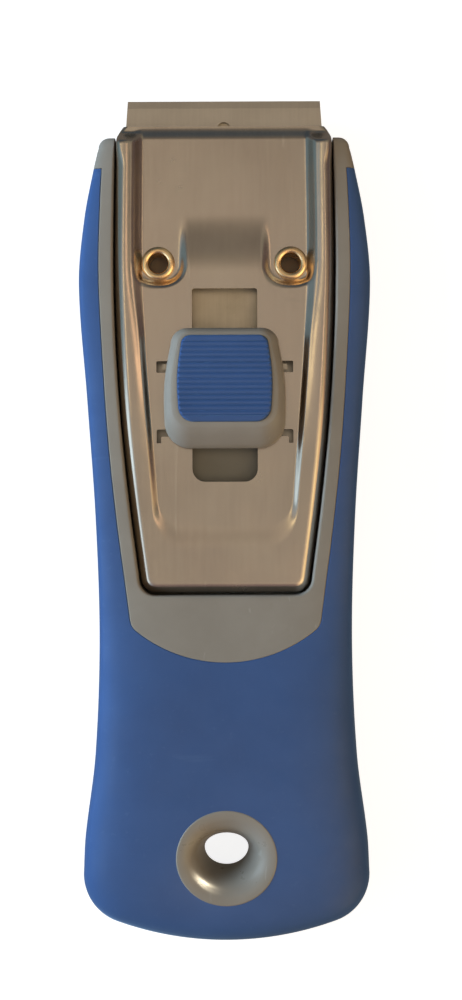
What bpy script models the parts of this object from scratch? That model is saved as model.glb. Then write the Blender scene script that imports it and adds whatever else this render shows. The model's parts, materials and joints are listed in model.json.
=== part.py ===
"""Retractable blade scraper: soft-gripped handle, pressed steel head, sliding blade carrier, thumb button.

The scraper lies on its back. +X is across it, +Y points from the hanging hole to the blade, +Z is up,
out of the face with the button. The origin is at the bottom centre of its bounding box.
"""
import math

import bmesh
import bpy
from mathutils import Matrix, Vector

MM = 0.001
GAP = 0.3 * MM            # clearance between pieces that touch
FINE_GAP = 0.1 * MM       # clearance inside the sheet-metal head

# Handle, seen from above: half widths along Y, then the round tail and the front corners.
HANDLE_SIDE = [(-69.6, 28.3), (-62, 27.9), (-46, 25.9), (-24, 25.05), (0, 25.7), (24, 27.3),
               (47, 28.9), (60, 27.8), (70, 25.9), (74.2, 24.9)]
TAIL_CORNER = (18.5, -69.6, 9.8)      # centre x, centre y, radius
TAIL_ARC_RADIUS = 64.0
HANDLE_FRONT = 76.0
FRONT_CORNER_RADIUS = 2.0

# Handle, seen from the side: heights along Y.
WIDEST_HEIGHT = 7.5
TOP_HEIGHT = [(-62, 16.8), (-40, 16.2), (-15, 13.6), (0, 13.3), (40, 12.9), (70, 11.6)]
LOW_HEIGHT = [(-62, -0.8), (40, -0.8), (70, 2.4)]
TOP_SQUARENESS = [(-62, 4.5), (-20, 5.0), (0, 6.0), (70, 6.0)]
LOW_SQUARENESS = 3.5
SPINE_REAR = -62.0
SPINE_FRONT = 70.0
GRIP_FLOOR = 0.3          # flat underside of the grip
SKIN = 1.7                # thickness of the grip
SKIN_GAP = 0.3

# Grey face of the handle inside the blue grip.
GREY_SIDE = [(-18.4, 18.9), (0, 21.35), (16, 23.0), (36, 24.3), (50, 24.85), (64, 24.5), (69.8, 24.2)]
TONGUE_SHOULDER = (17.5, -21.5)
TONGUE_TIP = -27.6
GRIP_FRONT = 69.8

# Head: half widths of the cover plate along Y, and heights.
COVER_SIDE = [(-11.5, 16.7), (4, 18.7), (20, 20.3), (36, 21.3), (50, 21.65), (64, 21.5), (75.5, 21.25)]
COVER_REAR = -14.1
COVER_FRONT = 78.3
COVER_CORNER = 3.0
TRAY_MARGIN = 0.5
TRAY_REAR = COVER_REAR - 0.5
TRAY_FLOOR = 5.3
BASE_Z = (5.6, 6.6)
BASE_FRONT = 78.9
BASE_FRONT_HALF_WIDTH = 20.2
SHEET = 0.8               # cover plate's thickness
LIP_Z, LOW_Z, MID_Z, HIGH_Z = 9.7, 10.4, 11.6, 12.8   # tops of the cover plate's levels
SKIRT_END = 74.8          # the cover plate's folded sides stop here
REAR_DROP = 0.8           # the rails come down by this to the platform behind

# Pressed shapes in the cover plate.
RAIL_INNER = [(-14.1, 11.8), (0, 12.9), (44, 15.95), (78.3, 15.95)]
PANEL_RAMP = (49.0, 61.0)
PAD_HALF, PAD_REACH, PAD_ROUNDNESS = 4.95, 4.15, 2.3   # rivet pad beside and behind its eyelet
PLATFORM_RAMP = (-5.6, -0.4)
LIP_RAMP = (75.6, 77.9)
WINDOW = (6.45, 7.8, 46.0)            # half width, rear, front
WINDOW_CORNER = 2.6
EYELET = (13.1, 51.0)
EYELET_RIM, EYELET_TUBE, EYELET_HOLE = 3.15, 2.2, 1.9
NOTCH_X = (9.0, 13.5)
NOTCH_FRONT, NOTCH_REAR = 30.5, 17.45
NOTCH_HALF_FRONT, NOTCH_HALF_REAR = 1.15, 0.7

# Slider.
CARRIER_Z = (6.9, 7.6)
BLADE_Z = (8.2, 8.45)
BLADE_HALF_WIDTH, BLADE_EDGE_HALF_WIDTH = 19.45, 19.1
BLADE_REAR, BLADE_EDGE = 64.5, 83.5
BEVEL_LENGTH = 1.4
TAPER_LENGTH = 5.0         # the blade narrows over this to its edge
BLADE_HOLE = (78.1, 1.3)   # y, radius
PEG = (6.0, 67.6, 0.8)                # x, y, radius
CARRIER_SHOULDER = 62.0
CARRIER_TONGUE = (5.0, 80.1)          # half width and front end of the tongue under the blade's hole
EYELET_NOTCH = (2.75, 68.0)           # half width of the notches round the eyelets, and their front end

# Thumb button.
BUTTON_Y = 26.2
BUTTON_Z = (12.7, 17.6)
NECK = (5.9, 21.7, 31.2, 9.05)        # half width, rear, front, foot
NECK_CORNER = 2.3
PAD_Y = (19.4, 36.3)
PAD_HALF_WIDTH = (9.1, 8.55)          # at its rear, at its front
PAD_BULGE = 0.45
PAD_Z = 18.1
RIB_COUNT = 14
RIB_PITCH = 1.04

# Hanging hole.
HANG = (0.0, -65.6)
HANG_THROAT, HANG_RING, HANG_RING_BACK = 4.4, 10.1, 8.2
RING_TUBE = 7.4
RING_OVAL = (0.985, 0.93)             # the ring's width and length against a round one
THROAT_OVAL, THROAT_SHIFT = (0.614, 0.809), 1.0       # the throat's front half and rear half
THROAT_DRAFT = 0.27                   # how much the throat widens for each unit of height
RING_TOP, RING_SPLIT = 16.7, 8.5

# Screws.
LID_SCREWS = {"front_left": (-11.0, 43.0), "front_right": (11.0, 43.0), "rear": (0.0, -49.5)}
HEAD_SCREW = (13.0, 2.0)
LID = (17.0, -53.0, 48.0, 1.7)        # half width, rear, front, thickness


def clear_scene():
    for obj in list(bpy.data.objects):
        bpy.data.objects.remove(obj, do_unlink=True)


def material(name, colour, metallic, roughness):
    mat = bpy.data.materials.new(name)
    mat.use_nodes = True
    shader = mat.node_tree.nodes["Principled BSDF"]
    shader.inputs["Base Color"].default_value = (*colour, 1.0)
    shader.inputs["Metallic"].default_value = metallic
    shader.inputs["Roughness"].default_value = roughness
    return mat


def through(points, at):
    """Value at a place on the smooth curve through (place, value) points."""
    places = [p for p, _ in points]
    values = [v for _, v in points]
    if at <= places[0]:
        return values[0]
    if at >= places[-1]:
        return values[-1]
    slopes = []
    for i in range(len(points)):
        low, high = max(i - 1, 0), min(i + 1, len(points) - 1)
        slopes.append((values[high] - values[low]) / (places[high] - places[low]))
    i = max(k for k in range(len(points) - 1) if places[k] <= at)
    span = places[i + 1] - places[i]
    t = (at - places[i]) / span
    return ((2 * t ** 3 - 3 * t ** 2 + 1) * values[i] + (t ** 3 - 2 * t ** 2 + t) * span * slopes[i]
            + (3 * t ** 2 - 2 * t ** 3) * values[i + 1] + (t ** 3 - t ** 2) * span * slopes[i + 1])


def ramp(value, low, high):
    """0 below low, 1 above high, smooth between."""
    t = min(max((value - low) / (high - low), 0.0), 1.0)
    return t * t * (3 - 2 * t)


def arc(centre_x, centre_y, radius, start, end, steps):
    """Points of an arc, with angles in degrees."""
    angles = [math.radians(start + (end - start) * i / steps) for i in range(steps + 1)]
    return [(centre_x + radius * math.cos(a), centre_y + radius * math.sin(a)) for a in angles]


def mirrored(right):
    """Closed outline from its right half, whose ends may lie on the centre line."""
    left = [(-x, y) for x, y in reversed(right) if x > 1e-6]
    return right + left


def solid(name, vertices, faces, mat):
    """Mesh object from points in millimetres."""
    bm = bmesh.new()
    verts = [bm.verts.new(Vector(v) * MM) for v in vertices]
    for face in faces:
        if len(set(face)) > 2:
            bm.faces.new([verts[i] for i in face])
    bmesh.ops.remove_doubles(bm, verts=bm.verts, dist=1e-7)
    if not any(edge.is_boundary for edge in bm.edges):
        bmesh.ops.recalc_face_normals(bm, faces=bm.faces)
    mesh = bpy.data.meshes.new(name)
    bm.to_mesh(mesh)
    bm.free()
    mesh.materials.append(mat)
    mesh.shade_smooth()
    mesh.set_sharp_from_angle(angle=math.radians(35))
    obj = bpy.data.objects.new(name, mesh)
    bpy.context.scene.collection.objects.link(obj)
    return obj


def stack(name, layers, mat):
    """Solid through closed outlines of equally many (x, y, z) points, lowest first."""
    count = len(layers[0])
    vertices = [v for layer in layers for v in layer]
    faces = [list(range(count))[::-1]]
    for k in range(len(layers) - 1):
        for i in range(count):
            j = (i + 1) % count
            faces.append([k * count + i, k * count + j, (k + 1) * count + j, (k + 1) * count + i])
    faces.append([(len(layers) - 1) * count + i for i in range(count)])
    return solid(name, vertices, faces, mat)


def prism(name, outline, low, high, mat):
    return stack(name, [[(x, y, z) for x, y in outline] for z in (low, high)], mat)


def box(name, low, high, mat):
    outline = [(low[0], low[1]), (high[0], low[1]), (high[0], high[1]), (low[0], high[1])]
    return prism(name, outline, low[2], high[2], mat)


def turned(name, profile, centre, segments, mat):
    """Solid turned round a vertical axis from a closed (radius, z) profile."""
    vertices, faces = [], []
    for i in range(segments):
        angle = 2 * math.pi * i / segments
        for radius, z in profile:
            vertices.append((centre[0] + radius * math.cos(angle), centre[1] + radius * math.sin(angle), z))
    count = len(profile)
    for i in range(segments):
        for k in range(count):
            here, after = i * count, (i + 1) % segments * count
            step = (k + 1) % count
            if profile[k][0] > 0 or profile[step][0] > 0:
                faces.append([here + k, after + k, after + step, here + step])
    return solid(name, vertices, faces, mat)


def oval(obj):
    """Squeeze a turned piece of the hanging hole: a little at its rim, more at its throat."""
    for vertex in obj.data.vertices:
        x, y = vertex.co.x / MM - HANG[0], vertex.co.y / MM - HANG[1]
        rim = min(max((math.hypot(x, y) - HANG_THROAT) / (RING_TUBE - HANG_THROAT), 0), 1)
        throat = THROAT_OVAL[0] if y > 0 else THROAT_OVAL[1]
        y = y * (throat + (RING_OVAL[1] - throat) * rim) + THROAT_SHIFT * (1 - rim)
        vertex.co.x, vertex.co.y = (HANG[0] + x * RING_OVAL[0]) * MM, (HANG[1] + y) * MM
    return obj


def combine(target, tool, operation):
    """Boolean with another object, which is used up."""
    modifier = target.modifiers.new(operation.lower(), "BOOLEAN")
    modifier.operation = operation
    modifier.object = tool
    bpy.context.view_layer.update()
    graph = bpy.context.evaluated_depsgraph_get()
    mesh = bpy.data.meshes.new_from_object(target.evaluated_get(graph))
    target.modifiers.clear()
    target.data = mesh
    mesh.name = target.name
    bpy.data.objects.remove(tool, do_unlink=True)


def cut(target, *tools):
    for tool in tools:
        combine(target, tool, "DIFFERENCE")


def set_origin(obj, point):
    """Moves an object's origin to a point in millimetres and leaves its shape where it is."""
    place = Vector(point) * MM
    obj.data.transform(Matrix.Translation(-place))
    obj.location = place


def parent_to(obj, frame):
    obj.parent = frame
    obj.matrix_parent_inverse = frame.matrix_world.inverted()


# Outlines of the handle.

def handle_outline(inset, steps):
    """Right half of the handle's outline from the front centre to the tail."""
    corner_x, corner_y, corner_radius = TAIL_CORNER
    tip_x = HANDLE_SIDE[-1][1] - FRONT_CORNER_RADIUS
    tip_y = HANDLE_FRONT - FRONT_CORNER_RADIUS
    points = [((tip_x - inset) * i / 4, HANDLE_FRONT - inset) for i in range(4)]
    points += arc(tip_x - inset, tip_y - inset, FRONT_CORNER_RADIUS, 90, 0, 4)
    front, rear = tip_y - inset, corner_y
    for i in range(1, steps):
        y = front + (rear - front) * i / steps
        points.append((through(HANDLE_SIDE, y) - inset, y))
    distance = TAIL_ARC_RADIUS - corner_radius
    tail_y = corner_y + math.sqrt(distance ** 2 - corner_x ** 2)
    tangent = math.degrees(math.atan2(corner_y - tail_y, corner_x))
    points += arc(corner_x, corner_y, corner_radius - inset, 0, tangent, 5)
    points += arc(0, tail_y, TAIL_ARC_RADIUS - inset, tangent, -90, 5)[1:]
    return points


def pillow(name, inset, lift, mat, steps=15, rings=5):
    """The handle's rounded body, shrunk by inset all round and raised by lift at its underside."""
    layers = []
    outline = mirrored(handle_outline(inset, steps))
    for k in range(-rings, rings + 1):
        angle = math.pi / 2 * k / rings
        layer = []
        for x, y in outline:
            spine = min(max(y, SPINE_REAR), SPINE_FRONT)
            if k >= 0:
                power = through(TOP_SQUARENESS, spine)
                rise = through(TOP_HEIGHT, spine) - inset - WIDEST_HEIGHT
            else:
                power = LOW_SQUARENESS
                rise = WIDEST_HEIGHT - through(LOW_HEIGHT, spine) - lift
            scale = abs(math.cos(angle)) ** (2 / power)
            height = abs(math.sin(angle)) ** (2 / power) * rise
            z = WIDEST_HEIGHT + math.copysign(height, k)
            layer.append((x * scale, spine + (y - spine) * scale, max(z, GRIP_FLOOR + lift)))
        layers.append(layer)
    return stack(name, layers, mat)


def grey_outline(margin):
    """Closed outline of the grey face, grown by margin, open past the front of the handle."""
    shoulder_x, shoulder_y = TONGUE_SHOULDER
    stations = (GRIP_FRONT, 60, 50, 36, 24, 12, 0, -9, GREY_SIDE[0][0])
    side = [(through(GREY_SIDE, y) + margin, y) for y in stations]
    dip = shoulder_y - TONGUE_TIP
    radius = (shoulder_x ** 2 + dip ** 2) / (2 * dip)
    edge = math.degrees(math.asin(shoulder_x / radius))
    tip = arc(0, TONGUE_TIP + radius, radius + margin, -90 + edge, -90, 6)
    return mirrored([(side[0][0], HANDLE_FRONT + 5)] + side + tip)


def head_outline(margin, rear, front, radius):
    """Closed outline of the head with rounded rear corners; margin moves its sides out."""
    corner_y = rear + radius
    corner_x = through(COVER_SIDE, corner_y) + margin - radius
    right = []
    for y in (75.5, 64, 57, 50, 43, 36, 28, 20, 12, 4, -4):
        if y < front - 1:
            right.append((through(COVER_SIDE, y) + margin, y))
    right = [(right[0][0], front)] + right
    right += arc(corner_x, corner_y, radius, 0, -90, 5)
    return mirrored(right)


# Handle.

def handle_body(grey):
    body = pillow("handle_body", SKIN + SKIN_GAP, SKIN + SKIN_GAP, grey)
    face = pillow("face", 0, 0, grey)
    combine(face, prism("zone", grey_outline(-0.15), WIDEST_HEIGHT, 30, grey), "INTERSECT")
    combine(body, face, "UNION")
    front = pillow("front", 0, 0, grey)
    combine(front, box("zone", (-40, GRIP_FRONT + 0.15, -5), (40, 90, 30), grey), "INTERSECT")
    combine(body, front, "UNION")
    tray = head_outline(TRAY_MARGIN, TRAY_REAR, 90, COVER_CORNER + 0.4)
    cut(body, prism("tray", tray, TRAY_FLOOR, 30, grey))
    cut(body, box("rivet_groove", (-4.8, 8.0, 3.0), (4.8, 45.2, 6), grey))
    cut(body, box("head_pocket", (-16.5, -12, -1), (16.5, 38, 3.7), grey))
    cut(body, box("grip_pocket", (-16.5, -46, -1), (16.5, -20, 12.2), grey))
    for side in (-1, 1):
        cut(body, turned("eyelet_pocket", [(0, 4.2), (3.8, 4.2), (3.8, 6), (0, 6)],
                         (side * EYELET[0], EYELET[1]), 24, grey))
        cut(body, turned("head_screw_hole", [(0, 3), (1.6, 3), (1.6, 6), (0, 6)],
                         (side * HEAD_SCREW[0], HEAD_SCREW[1]), 16, grey))
    for x, y in LID_SCREWS.values():
        depth = 4.6 if y > 0 else 9.0
        cut(body, turned("lid_screw_hole", [(0, -1), (1.3, -1), (1.3, depth), (0, depth)], (x, y), 16, grey))
    cut(body, turned("hang_hole", [(0, -5), (RING_TUBE + 0.3, -5), (RING_TUBE + 0.3, 30), (0, 30)],
                     HANG, 28, grey))
    return body


def grip_overmold(blue):
    grip = pillow("grip_overmold", 0, 0, blue)
    cut(grip, pillow("core", SKIN, SKIN, blue))
    cut(grip, prism("face_zone", grey_outline(0.15), WIDEST_HEIGHT - 0.3, 30, blue))
    cut(grip, box("front_zone", (-40, GRIP_FRONT - 0.15, -5), (40, 90, 30), blue))
    cut(grip, prism("lid_zone", lid_outline(0.3), -5, 4, blue))
    for name, radius, far in (("ring_zone", HANG_RING + 0.3, 30), ("ring_back_zone", HANG_RING_BACK + 0.3, -5)):
        cut(grip, oval(turned(name, [(0, 8), (radius, 8), (radius, far), (0, far)], HANG, 28, blue)))
    return grip


def lid_outline(margin):
    half_width, rear, front, _ = LID
    corner = 8.0
    right = arc(half_width - corner, front - corner, corner + margin, 90, 0, 6)
    right += arc(half_width - corner, rear + corner, corner + margin, 0, -90, 6)
    return mirrored(right)


def back_cover(grey):
    lid = prism("back_cover", lid_outline(0), 0, LID[3], grey)
    for x, y in LID_SCREWS.values():
        sink = [(0, -1), (2.9, -1), (2.9, 0.25), (1.5, 1.5), (1.5, 3), (0, 3)]
        cut(lid, turned("sink", sink, (x, y), 24, grey))
    return lid


def hang_ring(name, top, bottom, mouth, roll, rim, mat):
    """Half of the hanging hole's bushing: widens from its throat, rolls over to a mouth, and has a flange."""
    up = 1 if top > bottom else -1
    rise = 0.584 * abs(top - bottom)
    knots = [(HANG_THROAT, bottom), (HANG_THROAT + THROAT_DRAFT * rise, bottom + up * rise),
             (mouth - roll, top), (mouth, top)]
    inner = []
    for i in range(9):
        t = i / 8
        weights = ((1 - t) ** 3, 3 * t * (1 - t) ** 2, 3 * t ** 2 * (1 - t), t ** 3)
        inner.append(tuple(sum(w * knot[k] for w, knot in zip(weights, knots)) for k in (0, 1)))
    flange = top - up * 1.4
    outer = [(rim, top - up * 0.5), (rim, flange), (RING_TUBE, flange), (RING_TUBE, bottom)]
    return oval(turned(name, inner + outer, HANG, 28, mat))


def screw(name, place, head_z, head_radius, head_height, shank_radius, tip_z, mat):
    """Pan-head screw that points up, its head at the low end, with a slot across the head."""
    profile = [(0, head_z), (head_radius - 0.3, head_z), (head_radius, head_z + 0.3),
               (head_radius, head_z + head_height), (shank_radius, head_z + head_height),
               (shank_radius, tip_z - 0.4), (shank_radius - 0.4, tip_z), (0, tip_z)]
    obj = turned(name, profile, place, 20, mat)
    slot = box("slot", (place[0] - 0.3, place[1] - head_radius - 1, head_z - 1),
               (place[0] + 0.3, place[1] + head_radius + 1, head_z + 0.45), mat)
    cut(obj, slot)
    set_origin(obj, (*place, head_z))
    return obj


def lid_screw(name, place, mat):
    """Countersunk screw that points up into the handle, with a cross recess."""
    tip = 4.2 if place[1] > 0 else 8.5
    profile = [(0, 0.1), (2.5, 0.1), (1.05, 1.45), (1.05, tip - 0.4), (0.6, tip), (0, tip)]
    obj = turned(name, profile, place, 20, mat)
    for half in ((1.5, 0.3), (0.3, 1.5)):
        cut(obj, box("recess", (place[0] - half[0], place[1] - half[1], -1),
                     (place[0] + half[0], place[1] + half[1], 0.8), mat))
    set_origin(obj, (*place, 0.1))
    return obj


# Head.

def rail_step(y):
    """Width of the slope between a rail and the panel."""
    return 1.4 + 1.0 * ramp(y, 34, 52)


def fold_radius(y):
    """Outer radius of the cover plate's folded edge, which is tighter at the lip."""
    return 2.0 - 1.2 * ramp(y, 70, 75)


def cover_half_width(y):
    """Half width of the cover plate, rounded at its rear corners and its front corners."""
    width = through(COVER_SIDE, y)
    rear = COVER_REAR + COVER_CORNER - y
    if rear > 0:
        width -= COVER_CORNER - math.sqrt(max(COVER_CORNER ** 2 - rear ** 2, 0))
    front = y - LIP_RAMP[0] + 0.2
    if front > 0:
        width -= 0.155 * front ** 2
    return width


def cover_height(x, y):
    """Top of the cover plate: lip, rivet pads, panel, rails and platform."""
    across = abs(x)
    sideways, behind = abs(EYELET[0] - across) / PAD_HALF, max(EYELET[1] - y, 0) / PAD_REACH
    if across > EYELET[0] and y > EYELET[1]:
        sideways = 0
    pad = (sideways ** PAD_ROUNDNESS + behind ** PAD_ROUNDNESS) ** (1 / PAD_ROUNDNESS)
    panel = (1 - ramp(y, *PANEL_RAMP)) * ramp(pad, 0.81, 1.19)
    z = LOW_Z + (MID_Z - LOW_Z) * panel
    inner = through(RAIL_INNER, y)
    rail = ramp(across, inner, inner + rail_step(y))
    platform = 1 - ramp(y, *PLATFORM_RAMP)
    top = HIGH_Z - REAR_DROP * (1 - ramp(y, -4, 26))
    z += (top - z) * max(rail, platform)
    return z + (LIP_Z - z) * ramp(y, LIP_RAMP[0] - 0.9 * rail, LIP_RAMP[1])


def cover_plate(steel):
    rows = [COVER_REAR + step for step in (0, 0.3, 0.9, 2.1, 3.2, 6.0)]
    rows += [PLATFORM_RAMP[0] + (PLATFORM_RAMP[1] - PLATFORM_RAMP[0]) * i / 3 for i in range(4)]
    rows += [8, 20, 32, 42, 45.2, 46.1, 46.9, 47.8, 49, 50.4, 52, 54, 56, 58, 59.6, PANEL_RAMP[1]]
    rows += [68, 73, SKIRT_END - 0.1, 75.4, 76.1, 76.8, 77.5, COVER_FRONT]
    shares = [0.0, 0.25, 0.4, 0.45, 0.5, 0.54, 0.58, 0.68, 0.8, 0.93, 1.0]
    vertices, faces, grid = [], [], []
    for y in rows:
        edge = cover_half_width(y)
        inner = min(through(RAIL_INNER, y), edge * 0.78)
        radius = fold_radius(y)
        step = min(rail_step(y), (edge - 1.2 * radius - inner) * 0.9)
        half = [inner * s for s in shares] + [inner + step * s for s in (0.25, 0.5, 0.75, 1.0)]
        half += [edge - gap * radius for gap in (1.03, 0.63, 0.3, 0.08, 0)]
        line = []
        for x in [-v for v in half[:0:-1]] + half:
            near = min(edge - abs(x), max(y - COVER_REAR, 0))
            fall = radius - math.sqrt(radius ** 2 - (radius - min(near, radius)) ** 2)
            line.append(len(vertices))
            vertices.append((x, y, cover_height(x, y) - fall))
        grid.append(line)
    for low, high in zip(grid, grid[1:]):
        for i in range(len(low) - 1):
            faces.append([low[i], low[i + 1], high[i + 1], high[i]])
    border = [line[0] for line in grid][::-1] + grid[0][1:] + [line[-1] for line in grid][1:]
    skirt = []
    for i in border:
        x, y, z = vertices[i]
        foot = BASE_Z[0] if y <= SKIRT_END else z - 0.5 * SHEET
        skirt.append(len(vertices))
        vertices.append((x, y, foot))
    for k in range(len(border) - 1):
        faces.append([border[k + 1], border[k], skirt[k], skirt[k + 1]])
    plate = solid("cover_plate", vertices, faces, steel)
    thick = plate.modifiers.new("thickness", "SOLIDIFY")
    thick.thickness = SHEET * MM
    thick.offset = -1
    window_half, window_rear, window_front = WINDOW
    right = [(window_half, window_front)]
    right += arc(window_half - WINDOW_CORNER, window_rear + WINDOW_CORNER, WINDOW_CORNER, 0, -90, 4)
    cut(plate, prism("window", mirrored(right), 8, 16, steel))
    for side in (-1, 1):
        cut(plate, turned("eyelet_hole", [(0, 8), (2.4, 8), (2.4, 14), (0, 14)],
                          (side * EYELET[0], EYELET[1]), 24, steel))
        low, high = sorted((side * NOTCH_X[0], side * NOTCH_X[1]))
        for y, half in ((NOTCH_FRONT, NOTCH_HALF_FRONT), (NOTCH_REAR, NOTCH_HALF_REAR)):
            cut(plate, box("notch", (low, y - half, 8), (high, y + half, 16), steel))
        low, high = sorted((side * (NOTCH_X[1] - 0.9), side * NOTCH_X[1]))
        cut(plate, box("notch_hook", (low, NOTCH_REAR - 2.0, 8), (high, NOTCH_REAR, 16), steel))
    return plate


def base_plate(steel):
    outline = head_outline(-SHEET - 0.4, COVER_REAR + SHEET + 0.4, 75.9, COVER_CORNER - 1.0)
    front = [(BASE_FRONT_HALF_WIDTH - 0.6, BASE_FRONT), (BASE_FRONT_HALF_WIDTH, BASE_FRONT - 0.6)]
    outline = front + outline + [(-x, y) for x, y in reversed(front)]
    plate = prism("base_plate", outline, *BASE_Z, steel)
    cut(plate, box("slot", (-4.4, 8.4, 4), (4.4, 44.8, 8), steel))
    for side in (-1, 1):
        cut(plate, turned("eyelet_hole", [(0, 4), (2.4, 4), (2.4, 8), (0, 8)],
                          (side * EYELET[0], EYELET[1]), 24, steel))
        cut(plate, turned("screw_hole", [(0, 4), (1.35, 4), (1.35, 8), (0, 8)],
                          (side * HEAD_SCREW[0], HEAD_SCREW[1]), 16, steel))
    return plate


def eyelet(name, side, brass):
    """Tubular rivet: rolled rim on the cover's pad, tube, and a flange under the base plate."""
    seat = LOW_Z + 0.1
    middle = (EYELET_RIM + EYELET_HOLE) / 2
    roll = (EYELET_RIM - EYELET_HOLE) / 2
    rim = [(middle - x * roll, seat + 0.35 + z * roll) for x, z in arc(0, 0, 1, 0, 180, 6)]
    flange = [(EYELET_RIM, seat), (EYELET_TUBE, seat), (EYELET_TUBE, BASE_Z[0] - 0.1),
              (3.0, BASE_Z[0] - 0.1), (3.0, BASE_Z[0] - 0.6), (EYELET_HOLE, BASE_Z[0] - 0.6)]
    obj = turned(name, rim + flange, (side * EYELET[0], EYELET[1]), 22, brass)
    set_origin(obj, (side * EYELET[0], EYELET[1], seat))
    return obj


# Slider.

def blade_carrier(steel):
    half, wide, front, rear = 10.0, 19.2, 76.0, 3.0
    notch, notch_front = EYELET_NOTCH
    tongue, tip = CARRIER_TONGUE
    right = [(0, tip), (tongue - 1, tip), (tongue, tip - 1), (tongue, front), (wide, front),
             (wide, CARRIER_SHOULDER), (EYELET[0] + notch, CARRIER_SHOULDER),
             (EYELET[0] + notch, notch_front), (EYELET[0] - notch, notch_front),
             (EYELET[0] - notch, CARRIER_SHOULDER), (half, CARRIER_SHOULDER), (half, rear + 1.5),
             (half - 1.5, rear), (0, rear)]
    carrier = prism("blade_carrier", mirrored(right), *CARRIER_Z, steel)
    cut(carrier, turned("rivet_hole", [(0, 5), (2.1, 5), (2.1, 9), (0, 9)], (0, BUTTON_Y), 24, steel))
    for side in (-1, 1):
        place = (side * PEG[0], PEG[1])
        cut(carrier, turned("peg_hole", [(0, 5), (0.7, 5), (0.7, 9), (0, 9)], place, 16, steel))
    return carrier


def blade(blade_steel):
    """Flat blade: two notches that clear the eyelets, two peg holes, a small hole, and a ground edge."""
    low, high = BLADE_Z
    notch, notch_front = EYELET_NOTCH
    taper = BLADE_HALF_WIDTH - BLADE_EDGE_HALF_WIDTH
    bevel_half_width = BLADE_EDGE_HALF_WIDTH + taper * BEVEL_LENGTH / TAPER_LENGTH
    right = [(0, BLADE_EDGE), (BLADE_EDGE_HALF_WIDTH, BLADE_EDGE),
             (bevel_half_width, BLADE_EDGE - BEVEL_LENGTH), (BLADE_HALF_WIDTH, BLADE_EDGE - TAPER_LENGTH),
             (BLADE_HALF_WIDTH, BLADE_REAR + 1), (BLADE_HALF_WIDTH - 1, BLADE_REAR),
             (EYELET[0] + notch, BLADE_REAR), (EYELET[0] + notch, notch_front),
             (EYELET[0] - notch, notch_front), (EYELET[0] - notch, BLADE_REAR)]
    obj = prism("blade", mirrored(right), low, high, blade_steel)
    for vertex in obj.data.vertices:
        if vertex.co.y > (BLADE_EDGE - 0.1) * MM:
            vertex.co.z = ((low + high) / 2 + math.copysign(0.03, vertex.co.z / MM - (low + high) / 2)) * MM
    for x, y, radius in ((PEG[0], PEG[1], 1.0), (-PEG[0], PEG[1], 1.0), (0, *BLADE_HOLE)):
        cut(obj, turned("hole", [(0, 7), (radius, 7), (radius, 10), (0, 10)], (x, y), 16, blade_steel))
    return obj


def blade_peg(name, side, steel):
    x, y, radius = PEG
    bottom, top = CARRIER_Z[0], BLADE_Z[1] + 0.15
    profile = [(0, bottom), (0.6, bottom), (0.6, CARRIER_Z[1] + 0.1), (radius, CARRIER_Z[1] + 0.1),
               (radius, top - 0.15), (radius - 0.15, top), (0, top)]
    obj = turned(name, profile, (side * x, y), 16, steel)
    set_origin(obj, (side * x, y, bottom))
    return obj


# Thumb button.

def button_outline(half_width, front_half_width, rear, front, radius, z, bulge=0.0):
    """Rounded outline of one level of the button, narrower at its front."""
    points = []
    corners = [(half_width, rear, radius, -90, 0), (front_half_width, front, radius * 0.6, 0, 90)]
    for x, y, r, start, end in corners:
        inner_y = y + r if y == rear else y - r
        points += [(px, py, z) for px, py in arc(x - r, inner_y, r, start, end, 6)]
        if y == rear:
            points.append(((half_width + front_half_width) / 2 + bulge, (rear + front) / 2, z))
    return points + [(-x, y, z) for x, y, z in reversed(points)]


def pad_outline(shrink, z):
    rear, front = PAD_Y
    return button_outline(PAD_HALF_WIDTH[0] - shrink, PAD_HALF_WIDTH[1] - shrink, rear + shrink, front - shrink,
                          3.0 - shrink, z, PAD_BULGE)


def button_frame(grey):
    low, high = BUTTON_Z
    layers = [button_outline(10.8, 9.8, 15.4, 37.2, 5.0, low, 0.4),
              button_outline(11.8, 10.6, 14.3, 37.9, 5.0, low + 0.9, 0.5),
              button_outline(11.8, 10.5, 14.8, 37.8, 5.0, low + 2.0, 0.5),
              button_outline(11.2, 10.0, 16.9, 37.5, 4.2, high - 0.9, 0.4),
              button_outline(10.4, 9.2, 18.1, 37.0, 3.6, high, 0.3)]
    frame = stack("button_frame", layers, grey)
    half_width, rear, front, foot = NECK
    right = [(half_width, front)] + arc(half_width - NECK_CORNER, rear + NECK_CORNER, NECK_CORNER, 0, -90, 6)
    neck = prism("neck", mirrored(right), foot, low + 1, grey)
    combine(frame, neck, "UNION")
    cut(frame, stack("recess", [pad_outline(0, high - 1.0), pad_outline(0, high + 3)], grey))
    cut(frame, turned("rivet_hole", [(0, 7), (1.5, 7), (1.5, 14.0), (0, 14.0)], (0, BUTTON_Y), 20, grey))
    return frame


def button_pad(blue):
    """Soft pad set in the frame, grooved across the thumb's path."""
    low, high = BUTTON_Z[1] - 0.7, PAD_Z
    levels = ((0.3, low), (0.3, high - 0.3), (0.7, high))
    pad = stack("button_pad", [pad_outline(shrink, z) for shrink, z in levels], blue)
    first = (PAD_Y[0] + PAD_Y[1]) / 2 - RIB_PITCH * (RIB_COUNT - 1) / 2
    for i in range(RIB_COUNT):
        y = first + i * RIB_PITCH
        cut(pad, box("groove", (-12, y - 0.17, high - 0.35), (12, y + 0.17, high + 2), blue))
    return pad


def button_rivet(steel):
    """Headed rivet: its head under the carrier, its shank up into the button's neck."""
    profile = [(0, 5.7), (3.6, 5.7), (3.9, 6.0), (3.9, 6.7), (1.9, 6.7), (1.9, 8.95), (1.4, 8.95),
               (1.4, 13.6), (0, 13.6)]
    return turned("button_rivet", profile, (0, BUTTON_Y), 28, steel)


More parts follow.
